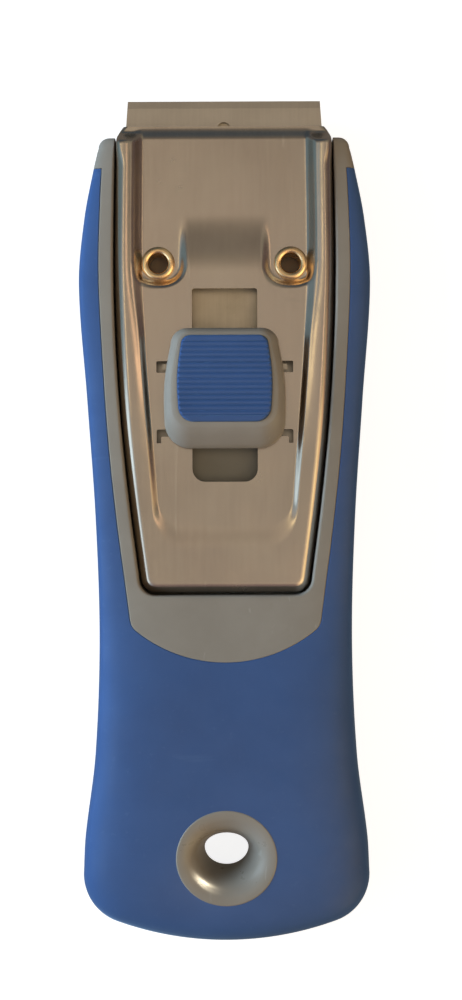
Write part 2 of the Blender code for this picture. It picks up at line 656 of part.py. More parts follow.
def detent_spring(steel):
    """Leaf spring riveted under the neck: two arms rise to the ears, and a foot bears on the carrier."""
    thickness, half = 0.35, 0.55
    level, ear = NECK[3] - 0.1 - thickness, MID_Z - 0.4
    arms = [(-12.3, ear), (-10.4, ear), (-9.9, 10.0), (-5.5, level), (5.5, level), (9.9, 10.0), (10.4, ear),
            (12.3, ear)]
    profile = arms + [(x, z + thickness) for x, z in reversed(arms)]
    layers = [[(x, y, z) for x, z in profile] for y in (NOTCH_FRONT - half, NOTCH_FRONT + half)]
    spring = stack("detent_spring", layers, steel)
    foot_y, foot_z = 19.0, CARRIER_Z[1] + 0.1
    bend = BUTTON_Y - 3.5
    sole = [(NOTCH_FRONT + half, level), (bend, level), (foot_y, foot_z)]
    profile = sole + [(y, z + thickness) for y, z in reversed(sole)]
    leaf = stack("leaf", [[(x, y, z) for y, z in profile] for x in (-4.5, 4.5)], steel)
    combine(spring, leaf, "UNION")
    cut(spring, turned("rivet_hole", [(0, 7), (2.2, 7), (2.2, 11), (0, 11)], (0, BUTTON_Y), 20, steel))
    return spring


def frame_empty(name, place):
    empty = bpy.data.objects.new(name, None)
    empty.location = Vector(place) * MM
    bpy.context.scene.collection.objects.link(empty)
    bpy.context.view_layer.update()
    return empty


def build():
    clear_scene()
    grey = material("grey_plastic", (0.30, 0.28, 0.25), 0.0, 0.5)
    blue = material("blue_grip", (0.03, 0.13, 0.42), 0.0, 0.6)
    steel = material("stainless", (0.55, 0.52, 0.48), 1.0, 0.35)
    blade_steel = material("blade_steel", (0.42, 0.41, 0.40), 1.0, 0.3)
    brass = material("brass", (0.75, 0.60, 0.32), 1.0, 0.3)
    zinc = material("zinc", (0.6, 0.6, 0.6), 1.0, 0.4)

    handle = [handle_body(grey), grip_overmold(blue), back_cover(grey), cover_plate(steel), base_plate(steel)]
    mouth = HANG_RING - 0.6
    handle.append(hang_ring("hang_ring_front", RING_TOP, RING_SPLIT + 0.15, mouth, 3.2, HANG_RING, grey))
    mouth = HANG_THROAT + 2.3
    handle.append(hang_ring("hang_ring_back", GRIP_FLOOR, RING_SPLIT - 0.15, mouth, 0.5, HANG_RING_BACK, grey))
    for name, place in LID_SCREWS.items():
        handle.append(lid_screw("back_screw_" + name, place, zinc))
    for side, word in ((-1, "left"), (1, "right")):
        handle.append(eyelet("eyelet_" + word, side, brass))
        place = (side * HEAD_SCREW[0], HEAD_SCREW[1])
        handle.append(screw("head_screw_" + word, place, 2.2, 2.8, 1.2, 1.2, BASE_Z[1] - 0.1, zinc))

    slider = [blade_carrier(steel), blade(blade_steel)]
    for side, word in ((-1, "left"), (1, "right")):
        slider.append(blade_peg("blade_peg_" + word, side, steel))
    thumb = [button_frame(grey), button_pad(blue), button_rivet(zinc), detent_spring(steel)]

    handle_frame = frame_empty("handle_frame", (0, 0, 0))
    slider_frame = frame_empty("slider_frame", (0, BUTTON_Y, CARRIER_Z[1]))
    thumb_frame = frame_empty("thumb_frame", (0, BUTTON_Y, BUTTON_Z[0]))
    parent_to(slider_frame, handle_frame)
    parent_to(thumb_frame, slider_frame)
    for frame, pieces in ((handle_frame, handle), (slider_frame, slider), (thumb_frame, thumb)):
        for piece in pieces:
            parent_to(piece, frame)


build()
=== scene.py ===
"""Looks of the retractable blade scraper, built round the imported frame."""

import math

import bmesh
import bpy
import numpy as np
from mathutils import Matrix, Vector
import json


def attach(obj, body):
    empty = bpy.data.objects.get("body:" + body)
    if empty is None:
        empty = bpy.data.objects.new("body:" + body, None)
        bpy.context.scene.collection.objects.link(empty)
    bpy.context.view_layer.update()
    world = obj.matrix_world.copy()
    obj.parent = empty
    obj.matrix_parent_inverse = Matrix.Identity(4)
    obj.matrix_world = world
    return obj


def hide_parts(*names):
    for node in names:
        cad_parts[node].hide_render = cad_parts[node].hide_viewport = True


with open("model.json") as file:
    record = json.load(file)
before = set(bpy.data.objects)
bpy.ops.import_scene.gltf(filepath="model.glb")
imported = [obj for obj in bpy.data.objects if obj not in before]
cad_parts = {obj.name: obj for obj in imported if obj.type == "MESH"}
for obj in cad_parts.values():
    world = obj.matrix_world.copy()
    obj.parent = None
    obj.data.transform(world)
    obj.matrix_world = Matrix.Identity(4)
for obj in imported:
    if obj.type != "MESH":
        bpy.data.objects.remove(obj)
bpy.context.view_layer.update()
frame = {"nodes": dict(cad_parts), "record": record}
MM = 0.001
NODES = frame["nodes"]

# Dimensions shared with the CAD, in millimetres.
HANDLE_SIDE = [(-69.6, 28.3), (-62, 27.9), (-46, 25.9), (-24, 25.05), (0, 25.7), (24, 27.3),
               (47, 28.9), (60, 27.8), (70, 25.9), (74.2, 24.9)]
TAIL_CORNER = (18.5, -69.6, 9.8)
TAIL_ARC_RADIUS = 64.0
HANDLE_FRONT, FRONT_CORNER_RADIUS = 76.0, 2.0
WIDEST_HEIGHT = 7.5
TOP_HEIGHT = [(-62, 16.8), (-40, 16.2), (-15, 13.6), (0, 13.3), (40, 12.9), (70, 11.6)]
LOW_HEIGHT = [(-62, -0.8), (40, -0.8), (70, 2.4)]
TOP_SQUARENESS = [(-62, 4.5), (-20, 5.0), (0, 6.0), (70, 6.0)]
LOW_SQUARENESS = 3.5
SPINE_REAR, SPINE_FRONT = -62.0, 70.0
GRIP_FLOOR, SKIN, SKIN_GAP = 0.3, 1.7, 0.3
GREY_SIDE = [(-18.4, 18.9), (0, 21.35), (16, 23.0), (36, 24.3), (50, 24.85), (64, 24.5), (69.8, 24.2)]
TONGUE_SHOULDER, TONGUE_TIP, GRIP_FRONT = (17.5, -21.5), -27.6, 69.8
COVER_SIDE = [(-11.5, 16.7), (4, 18.7), (20, 20.3), (36, 21.3), (50, 21.65), (64, 21.5), (75.5, 21.25)]
COVER_REAR, COVER_FRONT, COVER_CORNER = -14.1, 78.3, 3.0
TRAY_MARGIN, TRAY_REAR, TRAY_FLOOR = 0.35, COVER_REAR - 0.45, 5.3
TRAY_CORNER = COVER_CORNER + 0.4
TRAY_ROUNDING, SEAM_ROUNDING, PAD_ROUNDING = 0.5, 0.15, 0.5
BASE_Z = (5.6, 6.6)
SHEET = 0.8
LIP_Z, LOW_Z, MID_Z, HIGH_Z = 9.7, 10.4, 11.6, 12.8
SKIRT_END = 74.8
REAR_DROP = 0.8
RAIL_INNER = [(-14.1, 11.8), (0, 12.9), (44, 15.95), (78.3, 15.95)]
PANEL_RAMP = (49.0, 61.0)
PAD_HALF, PAD_REACH, PAD_ROUNDNESS = 4.95, 4.15, 2.3
LIP_RAMP = (75.6, 77.9)
RECESS_CORNER = 4.5
PLATFORM_FOOT, PLATFORM_STEP = -0.4, 5.2
WINDOW, WINDOW_CORNER = (6.45, 7.8, 46.0), 2.6
EYELET = (13.1, 51.0)
EYELET_RIM, EYELET_TUBE, EYELET_HOLE = 3.3, 2.2, 1.9
NOTCH_X, NOTCH_FRONT, NOTCH_REAR = (9.0, 13.5), 30.5, 17.45
NOTCH_HALF_FRONT, NOTCH_HALF_REAR = 1.15, 0.7
BUTTON_Z = (12.7, 17.6)
NECK, NECK_CORNER = (5.9, 21.7, 31.2, 9.05), 2.3
PAD_Y, PAD_HALF_WIDTH, PAD_CORNER, PAD_BULGE, PAD_Z = (19.4, 36.3), (9.1, 8.55), 3.0, 0.45, 18.1
RIB_COUNT, RIB_PITCH, RIB_DEPTH = 14, 1.04, 0.42
HANG = (0.0, -65.6)
HANG_THROAT, HANG_RING, HANG_RING_BACK, RING_TUBE = 4.4, 10.1, 8.2, 7.4
RING_TOP, RING_SPLIT = 16.7, 8.5
RING_OVAL, THROAT_OVAL, THROAT_SHIFT, THROAT_DRAFT = (0.985, 0.93), (0.614, 0.809), 1.0, 0.27
SEAM = 0.02
LID = (17.0, -53.0, 48.0, 1.7)
LID_SCREWS = [(-11.0, 43.0), (11.0, 43.0), (0.0, -49.5)]
# Heights where cutting tools end.
ABOVE, BELOW = 30, -5


# Curves and outlines.

def hermite(t, start, leaving, end, arriving):
    """Cubic between two values with the given slopes at its ends."""
    return ((2 * t ** 3 - 3 * t ** 2 + 1) * start + (t ** 3 - 2 * t ** 2 + t) * leaving
            + (3 * t ** 2 - 2 * t ** 3) * end + (t ** 3 - t ** 2) * arriving)


def through(points, at):
    """Values on the smooth curve through (place, value) points."""
    places = np.array([p for p, _ in points], float)
    values = np.array([v for _, v in points], float)
    low = np.maximum(np.arange(len(points)) - 1, 0)
    high = np.minimum(np.arange(len(points)) + 1, len(points) - 1)
    slopes = (values[high] - values[low]) / (places[high] - places[low])
    at = np.clip(np.asarray(at, float), places[0], places[-1])
    i = np.clip(np.searchsorted(places, at, side="right") - 1, 0, len(points) - 2)
    span = places[i + 1] - places[i]
    return hermite((at - places[i]) / span, values[i], span * slopes[i], values[i + 1], span * slopes[i + 1])


def ramp(value, low, high):
    t = np.clip((value - low) / (high - low), 0.0, 1.0)
    return t * t * (3 - 2 * t)


def arc(centre_x, centre_y, radius, start, end, steps):
    angles = np.radians(np.linspace(start, end, steps + 1))
    return [(centre_x + radius * math.cos(a), centre_y + radius * math.sin(a)) for a in angles]


def mirrored(right):
    left = [(-x, y) for x, y in reversed(right) if x > 1e-6]
    return right + left


def offset(outline, distance):
    """A closed outline moved along its own normals, outwards where distance is positive."""
    points = np.array(outline, float)
    along = np.roll(points, -1, axis=0) - np.roll(points, 1, axis=0)
    along /= np.linalg.norm(along, axis=1)[:, None]
    area = np.sum(points[:, 0] * np.roll(points[:, 1], -1) - np.roll(points[:, 0], -1) * points[:, 1])
    normals = np.column_stack([along[:, 1], -along[:, 0]]) * math.copysign(1, area)
    return [tuple(p) for p in points + normals * distance]


def handle_outline(inset, steps):
    corner_x, corner_y, corner_radius = TAIL_CORNER
    tip_x = HANDLE_SIDE[-1][1] - FRONT_CORNER_RADIUS
    tip_y = HANDLE_FRONT - FRONT_CORNER_RADIUS
    points = [((tip_x - inset) * i / 20, HANDLE_FRONT - inset) for i in range(20)]
    points += arc(tip_x - inset, tip_y - inset, FRONT_CORNER_RADIUS, 90, 0, 8)
    front, rear = tip_y - inset, corner_y
    for i in range(1, steps):
        y = front + (rear - front) * i / steps
        points.append((float(through(HANDLE_SIDE, y)) - inset, y))
    distance = TAIL_ARC_RADIUS - corner_radius
    tail_y = corner_y + math.sqrt(distance ** 2 - corner_x ** 2)
    tangent = math.degrees(math.atan2(corner_y - tail_y, corner_x))
    points += arc(corner_x, corner_y, corner_radius - inset, 0, tangent, 14)
    points += arc(0, tail_y, TAIL_ARC_RADIUS - inset, tangent, -90, 24)[1:]
    return points


def surface_height(x, y):
    """Top of the handle over points beside its spine."""
    share = np.minimum(np.abs(x) / through(HANDLE_SIDE, y), 1.0)
    power = through(TOP_SQUARENESS, y)
    rise = through(TOP_HEIGHT, y) - WIDEST_HEIGHT
    return WIDEST_HEIGHT + rise * (1 - share ** power) ** (1 / power)


def tail_height(x, y):
    """Top of the handle over a point past the spine's rear end."""
    if y >= SPINE_REAR:
        return float(surface_height(x, y))
    fan = np.array([p for p in handle_outline(0, 90) if p[1] < SPINE_REAR])
    angles = np.arctan2(SPINE_REAR - fan[:, 1], fan[:, 0])
    reach = np.interp(math.atan2(SPINE_REAR - y, abs(x)), angles, np.hypot(fan[:, 0], fan[:, 1] - SPINE_REAR))
    share = min(math.hypot(x, y - SPINE_REAR) / reach, 1.0)
    power, rise = TOP_SQUARENESS[0][1], TOP_HEIGHT[0][1] - WIDEST_HEIGHT
    return WIDEST_HEIGHT + rise * (1 - share ** power) ** (1 / power)


def rounding(distance, radius):
    """How far a rounded edge lies below its flat surface at some distance from the edge."""
    near = 1 - np.clip(np.asarray(distance, float) / radius, 0, 1)
    return radius * (1 - np.sqrt(1 - near ** 2))


def distance_to(outline, points):
    """Distance from each point to a polyline."""
    line = np.array(outline, float)
    start, step = line[:-1], np.diff(line, axis=0)
    result = np.full(len(points), 1e9)
    for k in range(0, len(points), 400):
        away = points[k:k + 400, None, :] - start[None]
        t = np.clip((away * step).sum(2) / np.maximum((step ** 2).sum(1), 1e-9), 0, 1)
        gap = away - t[..., None] * step[None]
        result[k:k + 400] = np.sqrt((gap ** 2).sum(2)).min(1)
    return result


def grey_outline(margin, half=False):
    """Outline of the grey face: sides, rounded shoulders and the arc of the tongue's tip."""
    shoulder_x, shoulder_y = TONGUE_SHOULDER
    side_y = np.concatenate([np.linspace(HANDLE_FRONT + 5, GRIP_FRONT, 6), np.linspace(69, -18.4, 90)])
    side = [(float(through(GREY_SIDE, y)), y) for y in side_y]
    dip = shoulder_y - TONGUE_TIP
    radius = (shoulder_x ** 2 + dip ** 2) / (2 * dip)
    edge = math.degrees(math.asin(shoulder_x / radius))
    start, end = np.array(side[-1]), np.array(TONGUE_SHOULDER)
    lead = (start - np.array(side[-2])) / np.linalg.norm(start - np.array(side[-2]))
    out = np.array([-math.cos(math.radians(edge)), -math.sin(math.radians(edge))])
    reach = 1.3 * np.linalg.norm(end - start)
    shoulder = [tuple(hermite(t, start, reach * lead, end, reach * out)) for t in np.linspace(0, 1, 17)[1:-1]]
    tip = arc(0, TONGUE_TIP + radius, radius, -90 + edge, -90, 40)
    if half:
        return side + shoulder + tip
    return offset(mirrored(side + shoulder + tip), margin)


def tray_side(y):
    return float(through(COVER_SIDE, y)) + TRAY_MARGIN


def tray_outline():
    rear, radius = TRAY_REAR, TRAY_CORNER
    corner_y = rear + radius
    corner_x = tray_side(corner_y) - radius
    right = [(tray_side(75.5), 90)]
    right += [(tray_side(y), y) for y in np.linspace(75.5, corner_y + 1, 60)]
    right += arc(corner_x, corner_y, radius, 0, -90, 10)
    right += [(corner_x * (1 - i / 10), rear) for i in range(1, 10)]
    return mirrored(right)


# Solids.

def mesh_object(name, vertices, faces, sharp=35):
    """Mesh object from points in millimetres, with no material yet."""
    mesh = bpy.data.meshes.new(name)
    mesh.from_pydata([Vector(v) * MM for v in vertices], [], [f for f in faces if len(set(f)) > 2])
    bm = bmesh.new()
    bm.from_mesh(mesh)
    bmesh.ops.remove_doubles(bm, verts=bm.verts, dist=2e-7)
    if not any(edge.is_boundary for edge in bm.edges):
        bmesh.ops.recalc_face_normals(bm, faces=bm.faces)
    bm.to_mesh(mesh)
    bm.free()
    return shaded(placed(bpy.data.objects.new(name, mesh)), sharp)


def shaded(obj, sharp):
    """Smooth shading with edges sharper than this left hard."""
    obj.data.shade_smooth()
    obj.data.set_sharp_from_angle(angle=math.radians(sharp))
    return obj


def placed(obj):
    bpy.context.scene.collection.objects.link(obj)
    return obj


def stack(name, layers):
    count = len(layers[0])
    vertices = [v for layer in layers for v in layer]
    faces = [list(range(count))[::-1]]
    for k in range(len(layers) - 1):
        for i in range(count):
            j = (i + 1) % count
            faces.append([k * count + i, k * count + j, (k + 1) * count + j, (k + 1) * count + i])
    faces.append([(len(layers) - 1) * count + i for i in range(count)])
    return mesh_object(name, vertices, faces)


def grid_faces(grid):
    """Faces between neighbouring rows of vertex numbers."""
    return [[low[i], low[i + 1], high[i + 1], high[i]]
            for low, high in zip(grid, grid[1:]) for i in range(len(low) - 1)]


def grid_border(grid):
    """Vertex numbers down the left side, along the first row and up the right side."""
    return [line[0] for line in grid][::-1] + grid[0][1:] + [line[-1] for line in grid][1:]


def prism(name, outline, low, high):
    return stack(name, [[(x, y, z) for x, y in outline] for z in (low, high)])


def block(name, low, high):
    outline = [(low[0], low[1]), (high[0], low[1]), (high[0], high[1]), (low[0], high[1])]
    return prism(name, outline, low[2], high[2])


def turned(name, profile, centre, segments):
    """Solid turned round a vertical axis from a closed (radius, z) profile."""
    count = len(profile)
    vertices, faces = [], []
    for i in range(segments):
        angle = 2 * math.pi * i / segments
        for radius, z in profile:
            vertices.append((centre[0] + radius * math.cos(angle), centre[1] + radius * math.sin(angle), z))
        here, after = i * count, (i + 1) % segments * count
        for k in range(count):
            step = (k + 1) % count
            if profile[k][0] > 0 or profile[step][0] > 0:
                faces.append([here + k, after + k, after + step, here + step])
    return mesh_object(name, vertices, faces)


def oval_point(x, y):
    """Where a point of a round hanging ring goes: squeezed a little at its rim, more at its throat."""
    x, y = x - HANG[0], y - HANG[1]
    rim = min(max((math.hypot(x, y) - HANG_THROAT) / (RING_TUBE - HANG_THROAT), 0), 1)
    throat = THROAT_OVAL[0] if y > 0 else THROAT_OVAL[1]
    y = y * (throat + (RING_OVAL[1] - throat) * rim) + THROAT_SHIFT * (1 - rim)
    return HANG[0] + x * RING_OVAL[0], HANG[1] + y


def oval(obj):
    for vertex in obj.data.vertices:
        x, y = oval_point(vertex.co.x / MM, vertex.co.y / MM)
        vertex.co.x, vertex.co.y = x * MM, y * MM
    return obj


def combine(target, tool, operation):
    modifier = target.modifiers.new(operation.lower(), "BOOLEAN")
    modifier.operation = operation
    modifier.object = tool
    bpy.context.view_layer.update()
    graph = bpy.context.evaluated_depsgraph_get()
    mesh = bpy.data.meshes.new_from_object(target.evaluated_get(graph))
    target.modifiers.clear()
    target.data = mesh
    bpy.data.objects.remove(tool, do_unlink=True)


def cut(target, *tools):
    for tool in tools:
        combine(target, tool, "DIFFERENCE")
    target.data.set_sharp_from_angle(angle=math.radians(35))


def union_of(name, pieces):
    """Separate solids in one object, to cut with together."""
    vertices, faces = [], []
    for piece in pieces:
        start = len(vertices)
        vertices += [tuple(v.co / MM) for v in piece.data.vertices]
        faces += [[start + i for i in p.vertices] for p in piece.data.polygons]
        bpy.data.objects.remove(piece, do_unlink=True)
    return mesh_object(name, vertices, faces)


def pillow(name, inset, lift, steps, rings):
    """The handle's rounded body, shrunk by inset all round and raised by lift at its underside."""
    outline = np.array(mirrored(handle_outline(inset, steps)))
    x, y = outline[:, 0], outline[:, 1]
    spine = np.clip(y, SPINE_REAR, SPINE_FRONT)
    top_power = through(TOP_SQUARENESS, spine)
    top_rise = through(TOP_HEIGHT, spine) - inset - WIDEST_HEIGHT
    low_rise = WIDEST_HEIGHT - through(LOW_HEIGHT, spine) - lift
    layers = []
    for k in range(-rings, rings + 1):
        angle = math.pi / 2 * k / rings
        power = top_power if k >= 0 else LOW_SQUARENESS
        rise = top_rise if k >= 0 else -low_rise
        scale = abs(math.cos(angle)) ** (2 / power) * np.ones_like(x)
        z = np.maximum(WIDEST_HEIGHT + abs(math.sin(angle)) ** (2 / power) * rise, GRIP_FLOOR + lift)
        layers.append([tuple(p) for p in np.column_stack([x * scale, spine + (y - spine) * scale, z])])
    return stack(name, layers)


# Handle pieces.

def face_strip():
    """Grey rim and tongue: sections from the tray's edge to the skin's edge, all round the tray."""
    boundary = np.array(grey_outline(0, half=True))
    tray = np.array([p for p in tray_outline() if p[0] >= 0])
    tray = np.vstack([tray, [(0, TRAY_REAR)]])
    meet = TRAY_REAR + TRAY_CORNER
    sections = []
    for y in np.linspace(GRIP_FRONT + 0.1, meet, 110):
        inner = tray_side(y)
        outer = float(np.interp(-y, -boundary[:, 1], boundary[:, 0]))
        sections.append(((inner, y), (outer - SEAM, y)))
    count = 90
    ends = []
    for line in (tray, boundary):
        line = line[line[:, 1] < meet - 0.01]
        length = np.concatenate([[0], np.cumsum(np.hypot(*np.diff(line, axis=0).T))])
        at = np.linspace(0, length[-1], count)
        ends.append(np.column_stack([np.interp(at, length, line[:, 0]), np.interp(at, length, line[:, 1])]))
    sections += zip(*ends)
    layers = [strip_section(np.array(inner), np.array(outer)) for inner, outer in sections]
    layers[-1] = [(0.0, y, z) for x, y, z in layers[-1]]
    flipped = [[(-x, y, z) for x, y, z in layer] for layer in layers[:-1]]
    return stack("face_strip", flipped + layers[::-1])


def strip_section(inner, outer):
    """Closed section from the tray's floor over the rim to below the skin's edge."""
    length = np.linalg.norm(outer - inner)
    steps = np.concatenate([[0, 0.03, 0.1, 0.2, 0.33, 0.5], 0.5 + (length - 0.85) * np.linspace(0, 1, 14)[1:],
                            length - np.array([0.2, 0.1, 0.04, 0])])
    places = inner + (outer - inner) * (steps / length)[:, None]
    z = surface_height(places[:, 0], places[:, 1])
    z = z - rounding(steps, TRAY_ROUNDING) - rounding(length - steps, SEAM_ROUNDING)
    top = [(x, y, h) for (x, y), h in zip(places, z)]
    foot = top[-1][2] - 1.9
    return [(*inner, TRAY_FLOOR)] + top + [(*outer, foot), (*(inner + (outer - inner) * 0.3), TRAY_FLOOR)]


def handle_shell():
    body = pillow("handle_shell", SKIN + SKIN_GAP, SKIN + SKIN_GAP, steps=60, rings=8)
    cut(body, prism("face_zone", grey_outline(SKIN_GAP), TRAY_FLOOR, ABOVE))
    cut(body, block("rivet_groove", (-4.8, 8.0, 3.0), (4.8, 45.2, 6)))
    for side in (-1, 1):
        cut(body, turned("eyelet_pocket", [(0, 4.2), (3.8, 4.2), (3.8, 6), (0, 6)],
                         (side * EYELET[0], EYELET[1]), 32))
    tube = RING_TUBE + 0.3
    cut(body, turned("hang_hole", [(0, BELOW), (tube, BELOW), (tube, ABOVE), (0, ABOVE)], HANG, 48))
    front = pillow("front", 0, 0, steps=200, rings=30)
    combine(front, block("zone", (-40, GRIP_FRONT + 0.08, BELOW), (40, 90, ABOVE)), "INTERSECT")
    cut(front, tray_cutter(tray_outline()))
    return union_of("handle_shell", [body, front, face_strip()])


def tray_cutter(outline):
    """Upright walls that curve away at the handle's top, to round the tray's edge."""
    radius = TRAY_ROUNDING
    layers = [[(x, y, TRAY_FLOOR) for x, y in outline]]
    for angle in np.radians(np.linspace(0, 82, 7)):
        moved = np.array(offset(outline, radius * (1 - math.cos(angle))))
        z = surface_height(moved[:, 0], np.minimum(moved[:, 1], SPINE_FRONT)) - radius * (1 - math.sin(angle))
        layers.append([(x, y, h) for (x, y), h in zip(moved, z)])
    layers.append([(x, y, ABOVE) for x, y in offset(outline, radius * 1.3)])
    return stack("tray", layers)


def skin_rows():
    """Stations round the right half of the skin: outline point, spine point and the seam's distance out."""
    boundary = np.array(grey_outline(0, half=True))
    boundary = boundary[boundary[:, 1] < GRIP_FRONT]
    arc_rows = boundary[boundary[:, 1] < -17][:, 1]
    beyond = TONGUE_TIP - np.array([0.04, 0.1, 0.17, 0.3, 0.6, 1.1, 1.8])
    side_y = np.concatenate([np.linspace(GRIP_FRONT, -17, 120), arc_rows, beyond,
                             np.linspace(-30.5, SPINE_REAR, 44)])
    rows = []
    for y in side_y:
        seam = float(np.interp(-y, -boundary[:, 1], boundary[:, 0], right=0.0)) if y >= TONGUE_TIP else 0.0
        rows.append((float(through(HANDLE_SIDE, y)), y, y, seam + SEAM * (seam > 0)))
    for x, y in handle_outline(0, 200):
        if y < SPINE_REAR - 0.3:
            rows.append((x, y, SPINE_REAR, 0.0))
    return rows


def skin_section(x, y, spine, seam):
    """Closed section of the skin's outside: up at the seam, over the top, round and underneath."""
    reach = math.hypot(x, y - spine)
    power = float(through(TOP_SQUARENESS, spine))
    rise = float(through(TOP_HEIGHT, spine)) - WIDEST_HEIGHT
    low_rise = WIDEST_HEIGHT - float(through(LOW_HEIGHT, spine))
    start = seam / reach
    near = start + np.array([0, 0.05, 0.12, 0.2, 0.35, 0.6]) / reach
    middle = near[-1] + max(0.8 - near[-1], 0.3 * (1 - near[-1]))
    turn = math.acos(min(middle ** (power / 2), 1.0))
    share = np.concatenate([near, np.linspace(near[-1], middle, 14)[1:],
                            np.cos(np.linspace(turn, 0, 20)[1:]) ** (2 / power)])
    top_z = WIDEST_HEIGHT + rise * (1 - np.minimum(share, 1) ** power) ** (1 / power)
    under = np.cos(np.linspace(0, math.pi / 2, 22)[1:])
    low_share = under ** (2 / LOW_SQUARENESS)
    low_z = WIDEST_HEIGHT - low_rise * np.sqrt(1 - under ** 2) ** (2 / LOW_SQUARENESS)
    low_z = np.maximum(low_z, GRIP_FLOOR)
    share = np.concatenate([share, low_share])
    z = np.concatenate([top_z, low_z])
    points = [(x * f, spine + (y - spine) * f, h) for f, h in zip(share, z)]
    foot = points[0][2] - (2.6 if seam > 0 else 0)
    return [(0.0, points[0][1], foot), (points[0][0], points[0][1], foot)] + points


def grip_skin():
    """Soft skin: a fine outside, hollowed for the body, the lid and the ring."""
    halves = [skin_section(*row) for row in skin_rows()]
    count = len(halves[0])
    vertices = [p for half in halves for p in half]
    total = len(vertices)
    vertices += [(-x, y, z) for x, y, z in vertices]
    faces = []
    for k in range(len(halves) - 1):
        low, high = k * count, (k + 1) * count
        for i in range(count - 1):
            faces.append([low + i, low + i + 1, high + i + 1, high + i])
            faces.append([total + high + i, total + high + i + 1, total + low + i + 1, total + low + i])
    faces.append(list(range(count)) + [total + i for i in range(count - 1, -1, -1)])
    grip = mesh_object("grip_skin", vertices, faces)
    edge = grey_outline(SEAM)
    edge += edge[:1]
    places = np.array([tuple(v.co / MM) for v in grip.data.vertices])
    near = (places[:, 1] < GRIP_FRONT) & (places[:, 2] > WIDEST_HEIGHT + 0.6)
    drop = rounding(distance_to(edge, places[near][:, :2]), SEAM_ROUNDING)
    above = places[near][:, 2] > [tail_height(x, y) - 0.4 for x, y, _ in places[near]]
    for index, fall, outside in zip(np.flatnonzero(near), drop, above):
        if outside:
            grip.data.vertices[int(index)].co.z -= float(fall) * MM
    cut(grip, pillow("core", SKIN, SKIN, steps=60, rings=8))
    cut(grip, prism("lid_zone", lid_outline(0.25), BELOW, 4))
    for name, radius, far in (("ring_zone", HANG_RING - 0.5, ABOVE),
                              ("ring_back_zone", HANG_RING_BACK + 0.2, BELOW)):
        cut(grip, oval(turned(name, [(0, 8), (radius, 8), (radius, far), (0, far)], HANG, 64)))
    return grip


def lid_outline(margin):
    half_width, rear, front, _ = LID
    corner = 8.0
    right = arc(half_width - corner, front - corner, corner + margin, 90, 0, 16)
    right += arc(half_width - corner, rear + corner, corner + margin, 0, -90, 16)
    return mirrored(right)


def back_lid():
    thickness = LID[3]
    layers = [[(x, y, thickness) for x, y in lid_outline(0)]]
    for x_share, z_share in arc(0, 0, 0.5, 0, 90, 5):
        layers.append([(x, y, 0.5 - z_share) for x, y in lid_outline(x_share - 0.5)])
    lid = stack("back_lid", layers)
    for x, y in LID_SCREWS:
        cut(lid, turned("sink", [(0, -1), (2.9, -1), (2.9, 0.25), (1.5, 1.5), (1.5, 3), (0, 3)], (x, y), 40))
    for row in range(9):
        y = -32 + row * 3.2
        cut(lid, prism("rib", [(-9, y - 0.5), (9, y - 0.5), (9.5, y), (9, y + 0.5), (-9, y + 0.5), (-9.5, y)],
                       -1, 0.35))
    return lid


def throat(mouth, start, end, roll):
    """(radius, z) points that widen from the throat and roll over to a mouth."""
    rise = 0.70 * (end - start)
    knots = np.array([(HANG_THROAT, start), (HANG_THROAT + THROAT_DRAFT * abs(rise), start + rise),
                      (mouth - roll, end), (mouth, end)])
    t = np.linspace(0, 1, 33)[:, None]
    curve = ((1 - t) ** 3 * knots[0] + 3 * t * (1 - t) ** 2 * knots[1] + 3 * t ** 2 * (1 - t) * knots[2]
             + t ** 3 * knots[3])
    return [tuple(point) for point in curve]


def hang_ring_top():
    """Flared ring whose rim follows the grip's surface: a broad flat rim that rolls over into the throat."""
    mouth = HANG_RING - 0.35
    profile = throat(mouth, RING_SPLIT + 0.15, RING_TOP, 4.2)
    for x, z in arc(0, 0, 1, 80, 0, 4):
        profile.append((mouth + 0.35 * x, RING_TOP - 0.35 + 0.35 * z))
    profile += [(HANG_RING, RING_TOP - 1.4), (RING_TUBE, RING_TOP - 1.4), (RING_TUBE, RING_SPLIT + 0.15)]
    ring = turned("hang_ring_top", profile, HANG, 96)
    for vertex in ring.data.vertices:
        x, y, z = vertex.co / MM
        radius = math.hypot(x - HANG[0], y - HANG[1])
        share = ramp(radius, HANG_THROAT + 1.0, mouth) * ramp(z, RING_TOP - 5, RING_TOP - 1)
        out = HANG_RING / max(radius, 1.0)
        level = tail_height(*oval_point(HANG[0] + (x - HANG[0]) * out, HANG[1] + (y - HANG[1]) * out))
        vertex.co.z += share * (level + 0.12 - RING_TOP) * MM
    return oval(ring)


def hang_ring_rear():
    """Back half of the ring: widens from the throat to the back and has a small flange."""
    low, mouth = GRIP_FLOOR, HANG_THROAT + 2.3
    profile = throat(mouth, RING_SPLIT - 0.15, low, 0.5)
    profile += [(HANG_RING_BACK - 0.4, low), (HANG_RING_BACK, low + 0.4), (HANG_RING_BACK, low + 1.4),
                (RING_TUBE, low + 1.4), (RING_TUBE, RING_SPLIT - 0.15)]
    return oval(turned("hang_ring_rear", profile, HANG, 96))


# Head pieces.

def cover_half_width(y):
    width = through(COVER_SIDE, y)
    rear = np.maximum(COVER_REAR + COVER_CORNER - y, 0)
    width = width - COVER_CORNER + np.sqrt(np.maximum(COVER_CORNER ** 2 - rear ** 2, 0))
    front = np.maximum(y - LIP_RAMP[0] + 0.2, 0)
    return width - 0.155 * front ** 2


def rail_step(y):
    """Width of the slope between a rail and the panel."""
    return 1.4 + 1.0 * float(ramp(y, 34, 52))


def fold_radius(y):
    """Outer radius of the folded edge, which is tighter at the lip."""
    return 2.1 - 1.3 * float(ramp(y, 70, 75))


